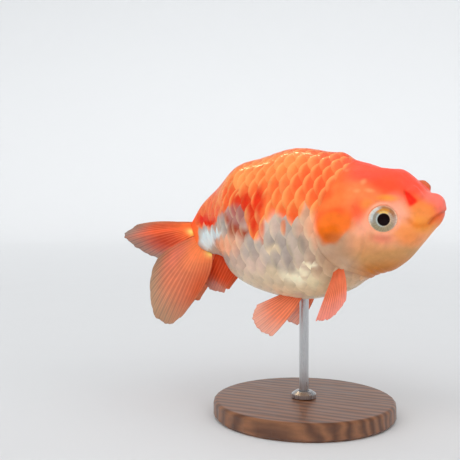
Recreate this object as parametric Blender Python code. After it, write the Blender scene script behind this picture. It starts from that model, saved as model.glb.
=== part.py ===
"""A life-size model of a ranchu goldfish, swimming, on a plain display stand.

The fish is one closed body that thin cuts part into head, lower jaw, gill covers, trunk and tail stem.
Ball eyes sit in sockets, and every fin is a thin curved plate whose root ends at the body.
The fish's own frame has +X towards the snout, +Y towards its left side and +Z up, and its origin is
on the body's axis. Sizes are millimetres until a mesh is made, and metres in Blender.
"""

import math
from collections import namedtuple

import bmesh
import bpy
import numpy as np

MM = 0.001  # metres in a millimetre

# Where the fish's own origin is held above the middle of the stand's underside.
FISH_AT = (-7.0, 0.0, 61.0)

GAP = 0.3  # between neighbouring pieces
BODY_RINGS, RING_POINTS = 37, 30
SNOUT_CROWDING = 0.28  # how much closer the rings lie towards the snout, which is the rounder end
CUTTER_REACH = 60.0  # far enough past the body on every side

# One station of the body: the highest and lowest point of a cross-section, its half width,
# the share of its height where it is widest, and how square its upper and lower halves are
# (2 is an ellipse, more is boxier).
Station = namedtuple("Station", "top_x top_z low_x low_z half_width waist roof keel")
STATIONS = {
    "tail_joint": Station(-35.2, 5.2, -30.6, -6.8, 2.6, 0.50, 2.0, 2.0),
    "tail_stem": Station(-30.8, 12.1, -26.2, -6.8, 5.2, 0.42, 2.0, 2.0),
    "vent": Station(-24.2, 18.2, -21.2, -8.2, 10.0, 0.42, 2.0, 2.1),
    "rump": Station(-17.0, 25.2, -16.6, -14.4, 14.6, 0.42, 2.0, 2.2),
    "loin": Station(-7.5, 27.8, -7.5, -18.6, 17.9, 0.42, 2.0, 2.2),
    "back": Station(4.0, 30.6, 4.0, -20.8, 19.8, 0.43, 2.0, 2.2),
    "shoulder": Station(15.0, 29.2, 14.0, -20.2, 19.9, 0.44, 2.1, 2.2),
    "nape": Station(24.0, 26.0, 23.4, -17.4, 18.6, 0.47, 2.2, 2.1),
    "gill": Station(31.5, 24.0, 31.0, -12.3, 16.8, 0.50, 2.4, 2.1),
    "eye": Station(38.4, 22.2, 38.0, -9.8, 14.4, 0.52, 2.5, 2.1),
    "nostril": Station(45.0, 18.3, 43.6, -4.8, 11.4, 0.52, 2.4, 2.1),
    "lips": Station(50.0, 14.6, 48.7, 1.1, 7.6, 0.52, 2.2, 2.0),
    "snout": Station(52.9, 12.8, 52.2, 6.0, 4.2, 0.50, 2.0, 2.0),
    "snout_tip": Station(53.8, 9.9, 53.8, 9.6, 0.2, 0.50, 2.0, 2.0),
}

# The tail end of the body swings to the fish's right, behind TAIL_BEND_X.
TAIL_BEND_X, TAIL_BEND_RADIUS = -14.0, 95.0

# A low swelling of the surface: its middle, its reach along X and across, and its height.
Swell = namedtuple("Swell", "x y z reach_x reach_yz height")
SWELLS = {
    "nape_crest": Swell(21.2, 0.0, 27.5, 3.3, 6.0, 1.45),
    "hood_crest": Swell(41.8, 0.0, 22.0, 3.6, 7.0, 1.2),
    "hood_dip": Swell(34.8, 0.0, 23.0, 2.8, 5.0, -0.7),
    "hood_side": Swell(36.0, 8.0, 18.5, 6.0, 4.5, 0.8),
    "brow": Swell(37.0, 12.5, 12.0, 5.0, 3.0, 0.7),
    "cheek": Swell(45.0, 9.5, 3.0, 4.0, 4.5, 0.9),
    "gill_cover": Swell(22.0, 19.0, 0.5, 6.5, 7.5, 0.9),
    "nose_dip": Swell(48.6, 0.0, 15.4, 1.3, 4.0, -0.6),
    "upper_lip": Swell(51.4, 0.0, 14.4, 1.7, 3.5, 0.5),
    "lower_lip": Swell(52.2, 0.0, 6.6, 2.0, 3.2, 0.8),
    "chin": Swell(42.8, 0.0, -5.4, 3.0, 5.0, 0.5),
    "belly": Swell(9.0, 12.0, -14.0, 9.0, 8.0, 0.6),
}

# The rear edge of the head, seen from the side: the gill opening, from nape to throat.
GILL_LINE = [(26.5, 34.0), (25.0, 25.0), (19.6, 14.0), (16.2, 6.0), (17.0, -1.0), (20.5, -7.0),
             (26.0, -10.6), (30.0, -14.0), (32.0, -24.0)]
# The front of the gill cover, from its upper corner to its lower one.
GILL_FRONT = [(14.0, 12.5), (24.0, 11.4), (30.0, 8.0), (31.4, 2.0), (31.0, -4.0), (29.0, -9.0),
              (25.6, -12.5), (14.0, -14.0)]
GILL_COVER_DEPTH = 2.4
GILL_COVER_NEAREST_Y = 6.0  # how near the middle plane a cover may reach
# The line where the trunk gives way to the tail stem.
TAIL_LINE = [(-24.0, 40.0), (-24.8, 12.0), (-23.4, 2.0), (-21.0, -8.0), (-18.0, -30.0)]
# The lower jaw: the mouth line from the lips to its corner, then down to the chin.
JAW_LINE = [(60.0, 9.8), (53.6, 8.8), (51.0, 7.0), (48.8, 4.8), (46.6, 1.2), (43.6, -5.4), (40.4, -14.0)]
# The jaw is also no wider than this ball.
JAW_AT, JAW_RADII = (47.0, 0.0, 1.0), (12.0, 6.4, 12.5)

# A flattened ball that looks sideways and a little forwards, as the side of the head does there.
EYE_AT, EYE_RADII, EYE_TURN = (36.5, 13.0, 6.55), (5.0, 3.0, 5.0), 20.0
# The flaps over the nostrils. The right one lies lower on the snout.
NOSTRIL_FLAPS = {"left": (45.8, 6.4, 16.8), "right": (45.9, 8.6, 14.6)}
NOSTRIL_FLAP_RADII = (2.2, 1.3, 2.2)

FIN_ROOT, FIN_MARGIN = 0.9, 0.55  # thickness of a fin at its root and at its margin
FIN_ACROSS, FIN_ALONG = 10, 6

# A key ray of a fin: its root, its tip, and how far its middle bows off the straight line.
Ray = namedtuple("Ray", "root tip bow")

TAIL_RIGHT_UPPER = [
    Ray((-34.0, -1.4, 4.2), (-53.4, -10.5, 4.1), (0.0, -1.0, 1.2)),
    Ray((-33.8, -1.8, 3.2), (-57.0, -13.0, 0.5), (0.0, -1.2, 1.0)),
    Ray((-33.6, -2.2, 2.2), (-50.8, -14.5, -4.0), (0.0, -1.2, 0.6)),
    Ray((-33.0, -2.4, 0.8), (-41.8, -14.8, -7.6), (0.0, -0.8, 0.3)),
]
TAIL_RIGHT_LOWER = [
    Ray((-32.8, -2.6, 0.0), (-41.3, -16.2, -7.8), (0.0, -1.6, 0.9)),
    Ray((-32.2, -2.8, -1.4), (-43.4, -17.6, -15.0), (-0.3, -1.4, 0.4)),
    Ray((-31.6, -2.8, -2.8), (-41.2, -19.6, -25.4), (-0.6, -1.8, 0.4)),
    Ray((-31.0, -2.8, -4.0), (-35.6, -20.0, -29.6), (0.8, -2.0, 0.2)),
    Ray((-29.4, -2.6, -5.4), (-31.0, -19.2, -27.0), (2.4, -1.6, 0.6)),
    Ray((-27.0, -2.4, -6.4), (-28.2, -18.0, -24.2), (3.2, -0.2, 1.2)),
]
TAIL_LEFT_UPPER = [
    Ray((-34.2, 0.4, 4.8), (-55.0, 5.0, 4.6), (0.0, 1.0, 0.4)),
    Ray((-34.0, 0.8, 3.8), (-58.0, 7.5, 1.4), (0.0, 1.2, 0.6)),
    Ray((-33.6, 1.0, 2.4), (-54.0, 9.5, -3.0), (0.0, 1.2, 0.6)),
    Ray((-33.0, 1.2, 0.8), (-45.8, 10.0, -6.6), (0.0, 0.8, 0.2)),
]
TAIL_LEFT_LOWER = [
    Ray((-32.8, 1.4, 0.0), (-45.8, 10.6, -7.8), (0.0, 0.8, 0.1)),
    Ray((-32.2, 1.6, -1.4), (-47.4, 13.5, -14.6), (0.0, 1.4, 0.4)),
    Ray((-31.6, 1.6, -2.8), (-45.6, 15.0, -22.2), (-0.6, 1.8, 0.4)),
    Ray((-31.0, 1.6, -4.0), (-41.0, 15.0, -25.8), (0.0, 2.0, 0.2)),
    Ray((-29.4, 1.6, -5.4), (-37.2, 12.6, -22.4), (0.8, 1.6, 0.2)),
    Ray((-27.0, 1.8, -6.4), (-34.0, 9.8, -17.0), (1.8, 0.8, 0.6)),
]
PECTORAL_RIGHT = [
    Ray((24.1, -15.0, -6.8), (26.6, -18.6, -18.5), (0.9, -0.2, 0.0)),
    Ray((23.8, -15.1, -6.9), (25.0, -18.8, -21.2), (0.6, -0.2, 0.0)),
    Ray((23.5, -15.2, -7.0), (21.8, -18.2, -24.2), (0.4, -0.2, 0.0)),
    Ray((23.2, -15.2, -7.1), (18.8, -17.0, -25.4), (0.2, -0.1, 0.0)),
    Ray((22.9, -15.2, -7.2), (16.3, -16.0, -25.8), (0.0, 0.0, 0.0)),
]
PECTORAL_LEFT = [
    Ray((24.6, 12.2, -8.6), (15.0, 29.0, -9.0), (1.8, 0.6, 1.0)),
    Ray((24.0, 12.2, -9.8), (11.0, 28.6, -12.0), (1.2, 0.6, 1.0)),
    Ray((23.0, 12.0, -10.8), (8.6, 26.0, -14.4), (0.6, 0.6, 0.6)),
    Ray((22.0, 11.8, -11.6), (9.0, 22.6, -15.6), (0.2, 0.6, 0.2)),
]
PELVIC_RIGHT = [
    Ray((9.8, -6.6, -17.6), (0.2, -12.6, -32.4), (0.6, -0.8, -0.6)),
    Ray((8.2, -6.6, -17.4), (-4.2, -13.0, -30.6), (0.2, -0.8, -0.4)),
    Ray((6.8, -6.4, -17.2), (-7.0, -12.0, -26.8), (0.0, -0.6, -0.2)),
    Ray((5.6, -6.0, -17.0), (-6.6, -9.8, -22.6), (0.0, -0.4, 0.0)),
]
ANAL_RIGHT = [
    Ray((-15.6, -2.3, -11.6), (-20.8, -4.8, -19.8), (-0.8, -0.4, 0.0)),
    Ray((-18.4, -2.3, -9.0), (-22.8, -5.2, -19.4), (-0.2, -0.4, 0.0)),
    Ray((-21.6, -2.0, -7.0), (-26.0, -5.2, -18.8), (0.0, -0.3, 0.0)),
    Ray((-25.6, -1.7, -6.3), (-29.0, -4.6, -16.6), (0.0, 0.0, 0.0)),
]
ANAL_LEFT = [
    Ray((-15.6, 2.3, -11.6), (-23.4, 4.8, -19.6), (-0.4, 0.4, 0.0)),
    Ray((-18.4, 2.3, -9.0), (-25.0, 5.2, -19.4), (0.0, 0.4, 0.0)),
    Ray((-21.0, 2.1, -7.2), (-27.2, 5.2, -18.0), (0.0, 0.3, 0.0)),
    Ray((-25.4, 1.9, -6.3), (-29.8, 4.6, -16.2), (0.0, 0.0, 0.0)),
]

STAND_BASE_RADIUS, STAND_BASE_HEIGHT = 31.0, 6.0
STAND_BASE_BEVEL, STAND_BASE_FOOT_BEVEL = 1.2, 1.0
STAND_ROD_RADIUS = 1.6
STAND_ROD_INSIDE = 9.0  # how far the rod goes into the trunk
STAND_COLLAR_RADIUS, STAND_COLLAR_HEIGHT = 4.2, 2.2
STAND_COLLAR_BEVEL_ACROSS, STAND_COLLAR_BEVEL_UP = 1.4, 1.0
LOWEST_BELLY_Z = -20.9  # in the fish's own frame

COLOURS = {
    "orange": ((0.92, 0.23, 0.05), 0.35, 0.0),
    "pearl": ((0.80, 0.62, 0.50), 0.30, 0.0),
    "fin": ((0.90, 0.42, 0.26), 0.35, 0.0),
    "eye": ((0.06, 0.05, 0.04), 0.10, 0.0),
    "walnut": ((0.16, 0.08, 0.04), 0.45, 0.0),
    "steel": ((0.60, 0.60, 0.60), 0.28, 1.0),
}


# --- curves through a few points -------------------------------------------------------------

def through(points, positions):
    """A Catmull-Rom curve through the points, read at positions from 0 to len(points) - 1."""
    points = np.asarray(points, float)
    first = 2 * points[0] - points[1]
    last = 2 * points[-1] - points[-2]
    padded = np.vstack([first, points, last])
    positions = np.asarray(positions, float)
    index = np.clip(positions.astype(int), 0, len(points) - 2)
    t = (positions - index)[..., None]
    a, b, c, d = (padded[index + k] for k in range(4))
    return 0.5 * (2 * b + (c - a) * t + (2 * a - 5 * b + 4 * c - d) * t**2 + (3 * b - a - 3 * c + d) * t**3)


def smooth_line(points, steps_each=4):
    """The curve through the points as a finer list of points."""
    count = (len(points) - 1) * steps_each + 1
    return through(points, np.linspace(0, len(points) - 1, count))


# --- the body's surface ----------------------------------------------------------------------

def signed_power(value, power):
    return np.sign(value) * np.abs(value) ** power


def body_points(position, angle, grow=0.0):
    """Points of the body's surface. Position runs from 0 at the tail joint to len(STATIONS) - 1 at
    the snout, and angle turns from the back over the right side. Grow moves the surface outwards."""
    table = through(list(STATIONS.values()), position)
    top_x, top_z, low_x, low_z, half_width, waist, roof, keel = np.moveaxis(table, -1, 0)
    up, out = np.cos(angle), -np.sin(angle)
    power = 2.0 / np.where(up >= 0, roof, keel)
    height = np.where(up >= 0, 1 - waist, waist) * signed_power(up, power) + waist
    side = np.maximum(half_width, 0.0) * signed_power(out, power)
    points = np.stack([low_x + (top_x - low_x) * height, side, low_z + (top_z - low_z) * height], -1)
    outwards = np.stack([np.zeros_like(up), out, up], -1)
    lift = grow + sum(swelling(points, swell) for swell in SWELLS.values())
    points = points + outwards * lift[..., None]
    behind = np.maximum(TAIL_BEND_X - points[..., 0], 0.0)
    points[..., 1] -= behind**2 / (2 * TAIL_BEND_RADIUS)
    return points


def swelling(points, swell):
    """How far one swelling, and its mirror image, lifts each point."""
    across = np.hypot(np.abs(points[..., 1]) - swell.y, points[..., 2] - swell.z) / swell.reach_yz
    along = (points[..., 0] - swell.x) / swell.reach_x
    return swell.height * np.exp(-(across**2) - along**2)


def body_mesh(name, grow=0.0, first="tail_joint", last="snout_tip"):
    """The closed body from one station to another."""
    names = list(STATIONS)
    start, stop = names.index(first), names.index(last)
    share = np.linspace(0, 1, BODY_RINGS)
    share += SNOUT_CROWDING * (np.sin(share * math.pi / 2) - share)
    rings = start + (stop - start) * share
    angles = np.linspace(0, 2 * math.pi, RING_POINTS, endpoint=False)
    grid = body_points(*np.meshgrid(rings, angles, indexing="ij"), grow=grow)
    grid[0] -= (grow, 0, 0)
    ends = grid[0].mean(axis=0), grid[-1].mean(axis=0) + (grow, 0, 0)
    faces = tube_faces(BODY_RINGS, RING_POINTS)
    points = np.vstack([grid.reshape(-1, 3), *ends])
    tail_point, snout_point = len(points) - 2, len(points) - 1
    first_of_last = (BODY_RINGS - 1) * RING_POINTS
    for k in range(RING_POINTS):
        after = (k + 1) % RING_POINTS
        faces.append((tail_point, after, k))
        faces.append((snout_point, first_of_last + k, first_of_last + after))
    return new_object(name, points, faces)


def tube_faces(rings, around):
    """Quads between successive rings of points."""
    faces = []
    for i in range(rings - 1):
        for k in range(around):
            after = (k + 1) % around
            a, b = i * around + k, i * around + after
            faces.append((a, b, b + around, a + around))
    return faces


# --- objects, cutters and cuts ---------------------------------------------------------------

def new_object(name, points, faces):
    """A closed mesh object from points in millimetres, with its faces turned outwards."""
    mesh = bpy.data.meshes.new(name)
    mesh.from_pydata([tuple(float(v) * MM for v in p) for p in points], [], faces)
    work = bmesh.new()
    work.from_mesh(mesh)
    bmesh.ops.recalc_face_normals(work, faces=work.faces)
    work.to_mesh(mesh)
    work.free()
    made = bpy.data.objects.new(name, mesh)
    bpy.context.scene.collection.objects.link(made)
    made.parent = FISH
    return made


def cutter(made):
    """Marks an object that only shapes others."""
    made.hide_render = True
    made.display_type = "WIRE"
    return made


def boolean(made, operation, other):
    step = made.modifiers.new(f"{operation.lower()} {other.name}", "BOOLEAN")
    step.operation = operation
    step.solver = "EXACT"
    step.object = other


def side_prism(name, outline, near, far):
    """A cutter: an outline in the X-Z plane carried from Y = near to Y = far."""
    count = len(outline)
    points = [(x, y, z) for y in (near, far) for x, z in outline]
    faces = [tuple(range(count)), tuple(range(2 * count - 1, count - 1, -1))]
    for k in range(count):
        after = (k + 1) % count
        faces.append((k, after, count + after, count + k))
    return cutter(new_object(name, points, faces))


def shifted(line, across):
    """The line moved sideways, to the left of its own direction."""
    line = np.asarray(line, float)
    along = np.gradient(line, axis=0)
    along /= np.linalg.norm(along, axis=1, keepdims=True)
    return line + across * np.stack([-along[:, 1], along[:, 0]], -1)


def finish(made, colour, smooth_angle=35):
    """Gives a piece its material and smooth shading."""
    material = bpy.data.materials.get(colour) or new_material(colour)
    made.data.materials.append(material)
    made.data.shade_smooth()
    made.data.set_sharp_from_angle(angle=math.radians(smooth_angle))
    return made


def new_material(colour):
    base, roughness, metallic = COLOURS[colour]
    material = bpy.data.materials.new(colour)
    material.use_nodes = True
    shader = material.node_tree.nodes["Principled BSDF"]
    shader.inputs["Base Color"].default_value = (*base, 1.0)
    shader.inputs["Roughness"].default_value = roughness
    shader.inputs["Metallic"].default_value = metallic
    return material


# --- the pieces of the body ------------------------------------------------------------------

def make_body():
    """Head, lower jaw, gill covers, trunk and tail stem, cut from copies of one body."""
    gill, tail = smooth_line(GILL_LINE), smooth_line(TAIL_LINE)
    jaw, front = smooth_line(JAW_LINE), smooth_line(GILL_FRONT)
    reach, inner = CUTTER_REACH, GILL_COVER_NEAREST_Y
    ahead_of_gill = [*shifted(gill, GAP / 2), (reach, -24), (reach, 34)]
    before_gill = side_prism("head_region", ahead_of_gill, -reach, reach)
    behind_gill = [*shifted(gill, -GAP / 2)][::-1]
    trunk = side_prism("trunk_region", [*behind_gill, *shifted(tail, GAP / 2)], -reach, reach)
    behind_tail = [*shifted(tail, -GAP / 2)][::-1]
    stem = side_prism("stem_region", [*behind_tail, (-reach, 40), (-reach, -30)], -reach, reach)
    jaw_region = side_prism("jaw_region", [*shifted(jaw, GAP / 2), (reach, -14)], -reach, reach)
    boolean(jaw_region, "INTERSECT", cutter(ball("jaw_width", JAW_AT, JAW_RADII)))
    jaw_cut = side_prism("jaw_cut", [*shifted(jaw, -GAP / 2), (reach, -15)], -reach, reach)
    wider = [radius + GAP for radius in JAW_RADII]
    boolean(jaw_cut, "INTERSECT", cutter(ball("jaw_cut_width", JAW_AT, wider)))
    core = cutter(body_mesh("gill_core", -GILL_COVER_DEPTH, "loin", "nostril"))
    inner_core = cutter(body_mesh("gill_inner_core", -GILL_COVER_DEPTH - GAP, "loin", "nostril"))
    pieces = {}

    head = body_mesh("head")
    boolean(head, "INTERSECT", before_gill)
    boolean(head, "DIFFERENCE", jaw_cut)
    for side, sign in (("left", 1), ("right", -1)):
        pocket = side_prism(f"gill_pocket_{side}", shifted(front, GAP)[::-1], sign * inner, sign * reach)
        boolean(pocket, "DIFFERENCE", inner_core)
        boolean(head, "DIFFERENCE", pocket)
        cover = body_mesh(f"gill_cover_{side}")
        plate = side_prism(f"gill_plate_{side}", front[::-1], sign * (inner + GAP), sign * reach)
        boolean(cover, "INTERSECT", before_gill)
        boolean(cover, "INTERSECT", plate)
        boolean(cover, "DIFFERENCE", core)
        pieces[cover.name] = finish(cover, "pearl")
        boolean(head, "DIFFERENCE", cutter(eye_ball(f"eye_socket_{side}", sign, GAP)))
        boolean(head, "UNION", nostril_flap(side, sign))
    pieces["head"] = finish(head, "orange")

    lower_jaw = body_mesh("lower_jaw")
    boolean(lower_jaw, "INTERSECT", jaw_region)
    pieces["lower_jaw"] = finish(lower_jaw, "orange")

    middle = body_mesh("trunk")
    boolean(middle, "INTERSECT", trunk)
    pieces["trunk"] = finish(middle, "orange")

    tail_stem = body_mesh("tail_stem")
    boolean(tail_stem, "INTERSECT", stem)
    pieces["tail_stem"] = finish(tail_stem, "orange")
    return pieces


def ball(name, centre, radii, degrees=0.0, columns=16, rows=9):
    """An ellipsoid whose poles point sideways, along Y, until it is turned about its upright axis."""
    points = [(0, -radii[1], 0)]
    for row in range(1, rows):
        turn = math.pi * row / rows
        for column in range(columns):
            spin = 2 * math.pi * column / columns
            points.append((radii[0] * math.sin(turn) * math.cos(spin),
                           -radii[1] * math.cos(turn),
                           radii[2] * math.sin(turn) * math.sin(spin)))
    points.append((0, radii[1], 0))
    cosine, sine = math.cos(math.radians(degrees)), math.sin(math.radians(degrees))
    points = [(centre[0] + x * cosine - y * sine, centre[1] + x * sine + y * cosine, centre[2] + z)
              for x, y, z in points]
    last = len(points) - 1
    faces = [tuple(1 + i for i in face) for face in tube_faces(rows - 1, columns)]
    for column in range(columns):
        after = (column + 1) % columns
        faces.append((0, 1 + after, 1 + column))
        faces.append((last, last - columns + column, last - columns + after))
    return new_object(name, points, faces)


def eye_ball(name, sign, larger=0.0):
    """An eye, or the ball that cuts its socket."""
    x, y, z = EYE_AT
    return ball(name, (x, sign * y, z), [radius + larger for radius in EYE_RADII], -sign * EYE_TURN)


def make_eyes():
    for side, sign in (("left", 1), ("right", -1)):
        finish(eye_ball(f"eye_{side}", sign), "eye")


def nostril_flap(side, sign):
    x, y, z = NOSTRIL_FLAPS[side]
    return cutter(ball(f"nostril_flap_{side}", (x, sign * y, z), NOSTRIL_FLAP_RADII, columns=10, rows=6))


# --- fins ------------------------------------------------------------------------------------

def mirrored(rays):
    """The rays of the same fin on the fish's other side."""
    flip = np.array((1, -1, 1))
    return [Ray(*(tuple(flip * np.array(part)) for part in ray)) for ray in rays]


def fin_surface(rays, across, along):
    """The fin's middle surface: curves from root to tip, blended from one key ray to the next."""
    keys = np.array([[ray.root, np.add(ray.root, ray.tip) / 2 + ray.bow, ray.tip] for ray in rays])
    root, middle, tip = np.moveaxis(through(keys.reshape(len(rays), 9), across * (len(rays) - 1))
                                    .reshape(*across.shape, 3, 3), -2, 0)
    s = along[..., None]
    return root * (1 - s) * (1 - 2 * s) + middle * 4 * s * (1 - s) + tip * s * (2 * s - 1)


def fin(name, rays, body_clearance):
    """A thin plate round the fin's middle surface, its root cut off at the body."""
    across, along = np.meshgrid(np.linspace(0, 1, FIN_ACROSS), np.linspace(0, 1, FIN_ALONG), indexing="ij")
    middle = fin_surface(rays, across, along)
    normal = np.cross(np.gradient(middle, axis=0), np.gradient(middle, axis=1))
    normal /= np.linalg.norm(normal, axis=-1, keepdims=True)
    half = (FIN_ROOT + (FIN_MARGIN - FIN_ROOT) * along)[..., None] / 2
    points = np.vstack([(middle + normal * half).reshape(-1, 3), (middle - normal * half).reshape(-1, 3)])
    made = new_object(name, points, plate_faces(FIN_ACROSS, FIN_ALONG))
    boolean(made, "DIFFERENCE", body_clearance)
    return finish(made, "fin")


def plate_faces(across, along):
    """Both sides and the rim of a grid of points that is given twice, upper then lower."""
    lower = across * along
    faces = []
    for i in range(across - 1):
        for j in range(along - 1):
            a = i * along + j
            quad = (a, a + 1, a + along + 1, a + along)
            faces.append(quad)
            faces.append(tuple(lower + v for v in quad[::-1]))
    rim = [i * along for i in range(across)]
    rim += [(across - 1) * along + j for j in range(1, along)]
    rim += [i * along + along - 1 for i in range(across - 2, -1, -1)]
    rim += [j for j in range(along - 2, 0, -1)]
    for a, b in zip(rim, rim[1:] + rim[:1]):
        faces.append((a, b, lower + b, lower + a))
    return faces


def make_fins():
    clearance = cutter(body_mesh("body_clearance", grow=GAP))
    fins = {
        "tail_fin_upper_right": TAIL_RIGHT_UPPER,
        "tail_fin_lower_right": TAIL_RIGHT_LOWER,
        "tail_fin_upper_left": TAIL_LEFT_UPPER,
        "tail_fin_lower_left": TAIL_LEFT_LOWER,
        "pectoral_fin_right": PECTORAL_RIGHT,
        "pectoral_fin_left": PECTORAL_LEFT,
        "pelvic_fin_right": PELVIC_RIGHT,
        "pelvic_fin_left": mirrored(PELVIC_RIGHT),
        "anal_fin_right": ANAL_RIGHT,
        "anal_fin_left": ANAL_LEFT,
    }
    for name, rays in fins.items():
        fin(name, rays, clearance)


# --- the stand -------------------------------------------------------------------------------

def turned(name, outline, steps=40):
    """A solid of revolution about the stand's own axis, from (radius, height) pairs, bottom to top."""
    points, faces = [], []
    for radius, height in outline:
        for k in range(steps):
            turn = 2 * math.pi * k / steps
            points.append((radius * math.cos(turn), radius * math.sin(turn), height))
    faces += tube_faces(len(outline), steps)
    faces.append(tuple(range(steps)))
    faces.append(tuple(range(len(points) - 1, len(points) - 1 - steps, -1)))
    made = new_object(name, points, faces)
    made.parent = None
    return made


def make_stand(trunk):
    radius, height, bevel = STAND_BASE_RADIUS, STAND_BASE_HEIGHT, STAND_BASE_BEVEL
    corner = [(radius - bevel * (1 - math.cos(t)), height - bevel * (1 - math.sin(t)))
              for t in np.linspace(0, math.pi / 2, 5)]
    foot = [(radius - STAND_BASE_FOOT_BEVEL, 0.0), (radius, STAND_BASE_FOOT_BEVEL)]
    base = finish(turned("stand_base", foot + corner), "walnut")

    top = FISH_AT[2] + LOWEST_BELLY_Z + STAND_ROD_INSIDE
    rod_foot = height / 2
    rod = finish(turned("stand_rod", [(STAND_ROD_RADIUS, rod_foot), (STAND_ROD_RADIUS, top)], 20), "steel")
    rod_hole = cutter(turned("rod_hole", [(STAND_ROD_RADIUS + GAP, rod_foot - GAP),
                                          (STAND_ROD_RADIUS + GAP, top + GAP)], 20))
    collar_foot, collar_top = height + GAP, height + GAP + STAND_COLLAR_HEIGHT
    collar = turned("stand_collar", [(STAND_COLLAR_RADIUS, collar_foot),
                                     (STAND_COLLAR_RADIUS, collar_top - STAND_COLLAR_BEVEL_UP),
                                     (STAND_COLLAR_RADIUS - STAND_COLLAR_BEVEL_ACROSS, collar_top)], 24)
    for piece in (base, trunk, finish(collar, "steel")):
        boolean(piece, "DIFFERENCE", rod_hole)


for old in list(bpy.data.objects):
    bpy.data.objects.remove(old)
FISH = bpy.data.objects.new("fish_frame", None)
FISH.location = [v * MM for v in FISH_AT]
bpy.context.scene.collection.objects.link(FISH)

BODY = make_body()
make_eyes()
make_fins()
make_stand(BODY["trunk"])
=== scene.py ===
"""The looks of a life-size ranchu goldfish on its display stand.

One skin and a coat of scales stand for the CAD's flesh nodes, and detailed eyes and rayed fins for the
rest of the fish. The stand keeps its CAD nodes and gets finished materials.
Sizes are millimetres in the fish's own frame, +X towards the snout, +Y towards its left side and +Z up.
The body's curves repeat the CAD's named stations, and the frame's eyes say where the fish is held.
"""

import math
from collections import namedtuple

import bpy
import numpy as np
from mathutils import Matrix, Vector


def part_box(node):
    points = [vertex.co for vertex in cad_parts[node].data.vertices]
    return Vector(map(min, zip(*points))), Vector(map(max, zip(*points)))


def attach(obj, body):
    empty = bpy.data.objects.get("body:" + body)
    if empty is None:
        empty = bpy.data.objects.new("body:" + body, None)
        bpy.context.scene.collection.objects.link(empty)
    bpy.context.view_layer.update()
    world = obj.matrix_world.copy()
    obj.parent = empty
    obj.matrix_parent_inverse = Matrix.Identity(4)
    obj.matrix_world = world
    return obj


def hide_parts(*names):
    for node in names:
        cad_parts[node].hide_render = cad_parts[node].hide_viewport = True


MM = 0.001  # metres in a millimetre
RIGHT, LEFT = -1, 1  # the sign of Y on each side of the fish
SIDES = {"right": RIGHT, "left": LEFT}

# --- the body's shape, as in the CAD ---

# Stations of the body: the X and Z of a cross-section's highest and lowest point, its half width,
# the share of its height where it is widest, and how square its upper and lower halves are.
STATIONS = {
    "tail_joint": (-35.2, 5.2, -30.6, -6.8, 2.6, 0.5, 2, 2),
    "tail_stem": (-30.8, 12.1, -26.2, -6.8, 5.2, 0.42, 2, 2),
    "vent": (-24.2, 18.2, -21.2, -8.2, 10, 0.42, 2, 2.1),
    "rump": (-17, 25.2, -16.6, -14.4, 14.6, 0.42, 2, 2.2),
    "loin": (-7.5, 27.8, -7.5, -18.6, 17.9, 0.42, 2, 2.2),
    "back": (4, 30.6, 4, -20.8, 19.8, 0.43, 2, 2.2),
    "shoulder": (15, 29.2, 14, -20.2, 19.9, 0.44, 2.1, 2.2),
    "nape": (24, 26, 23.4, -17.4, 18.6, 0.47, 2.2, 2.1),
    "gill": (31.5, 24, 31, -12.3, 16.8, 0.5, 2.4, 2.1),
    "eye": (38.4, 22.2, 38, -9.8, 14.4, 0.52, 2.5, 2.1),
    "nostril": (45, 18.3, 43.6, -4.8, 11.4, 0.52, 2.4, 2.1),
    "lips": (50, 14.6, 48.7, 1.1, 7.6, 0.52, 2.2, 2),
    "snout": (52.9, 12.8, 52.2, 6, 4.2, 0.5, 2, 2),
    "snout_tip": (53.8, 9.9, 53.8, 9.6, 0.2, 0.5, 2, 2),
}
LAST_STATION = len(STATIONS) - 1
TAIL_BEND_X, TAIL_BEND_RADIUS = -14, 95

# Low swellings of the surface, and their mirror images: the middle, the reach along X and across,
# and the height.
SWELLS = {
    "nape_crest": (21.2, 0, 27.5, 3.3, 6, 1.45),
    "hood_crest": (41.8, 0, 22, 3.6, 7, 1.2),
    "hood_dip": (34.8, 0, 23, 2.8, 5, -0.7),
    "hood_side": (36, 8, 18.5, 6, 4.5, 0.8),
    "brow": (37, 12.5, 12, 5, 3, 0.7),
    "cheek": (45, 9.5, 3, 4, 4.5, 0.9),
    "gill_cover": (22, 19, 0.5, 6.5, 7.5, 0.9),
    "nose_dip": (48.6, 0, 15.4, 1.3, 4, -0.6),
    "upper_lip": (51.4, 0, 14.4, 1.7, 3.5, 0.5),
    "lower_lip": (52.2, 0, 6.6, 2, 3.2, 0.8),
    "chin": (42.8, 0, -5.4, 3, 5, 0.5),
    "belly": (9, 12, -14, 9, 8, 0.6),
}

FIN_BASES = (  # the fleshy roots of the breast, belly and anal fins
    (23.8, 13.8, -7.8, 2.8, 2.8, 0.9),
    (7.8, 6.6, -17.4, 2.6, 2.6, 0.7),
    (-20.5, 2, -8.4, 3.4, 3.4, 0.5),
)

# Lines on the head, seen from the side, and the folds beside them: how far ahead of the line each
# lies, how wide it is, and its height.
GILL_LINE = [(26.5, 34), (25, 25), (19.6, 14), (16.2, 6), (17, -1), (20.5, -7),
             (26, -10.6), (30, -14), (32, -24)]
GILL_OPENS_BELOW_Z, GILL_LIP = 13, 0.32
CHEEK_LINE = [(28.6, 10), (31, 5), (31.6, -1), (29.6, -6), (26, -8.8)]
MOUTH_LINE = [(57, 10.6), (53.6, 8.8), (51, 7), (49.6, 5.2)]
GILL_GROOVE = (-0.15, 0.55, -0.75)
THROAT_FOLDS = ((2.2, 0.45, -0.22), (4.2, 0.5, -0.176), (6.4, 0.5, -0.132))
CHEEK_FOLDS = ((0, 0.6, -0.28), (-1.3, 0.9, 0.12))

EYE_AT, EYE_RADII, EYE_TURN = (36.5, 13, 6.55), (5, 3, 5), 20
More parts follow.
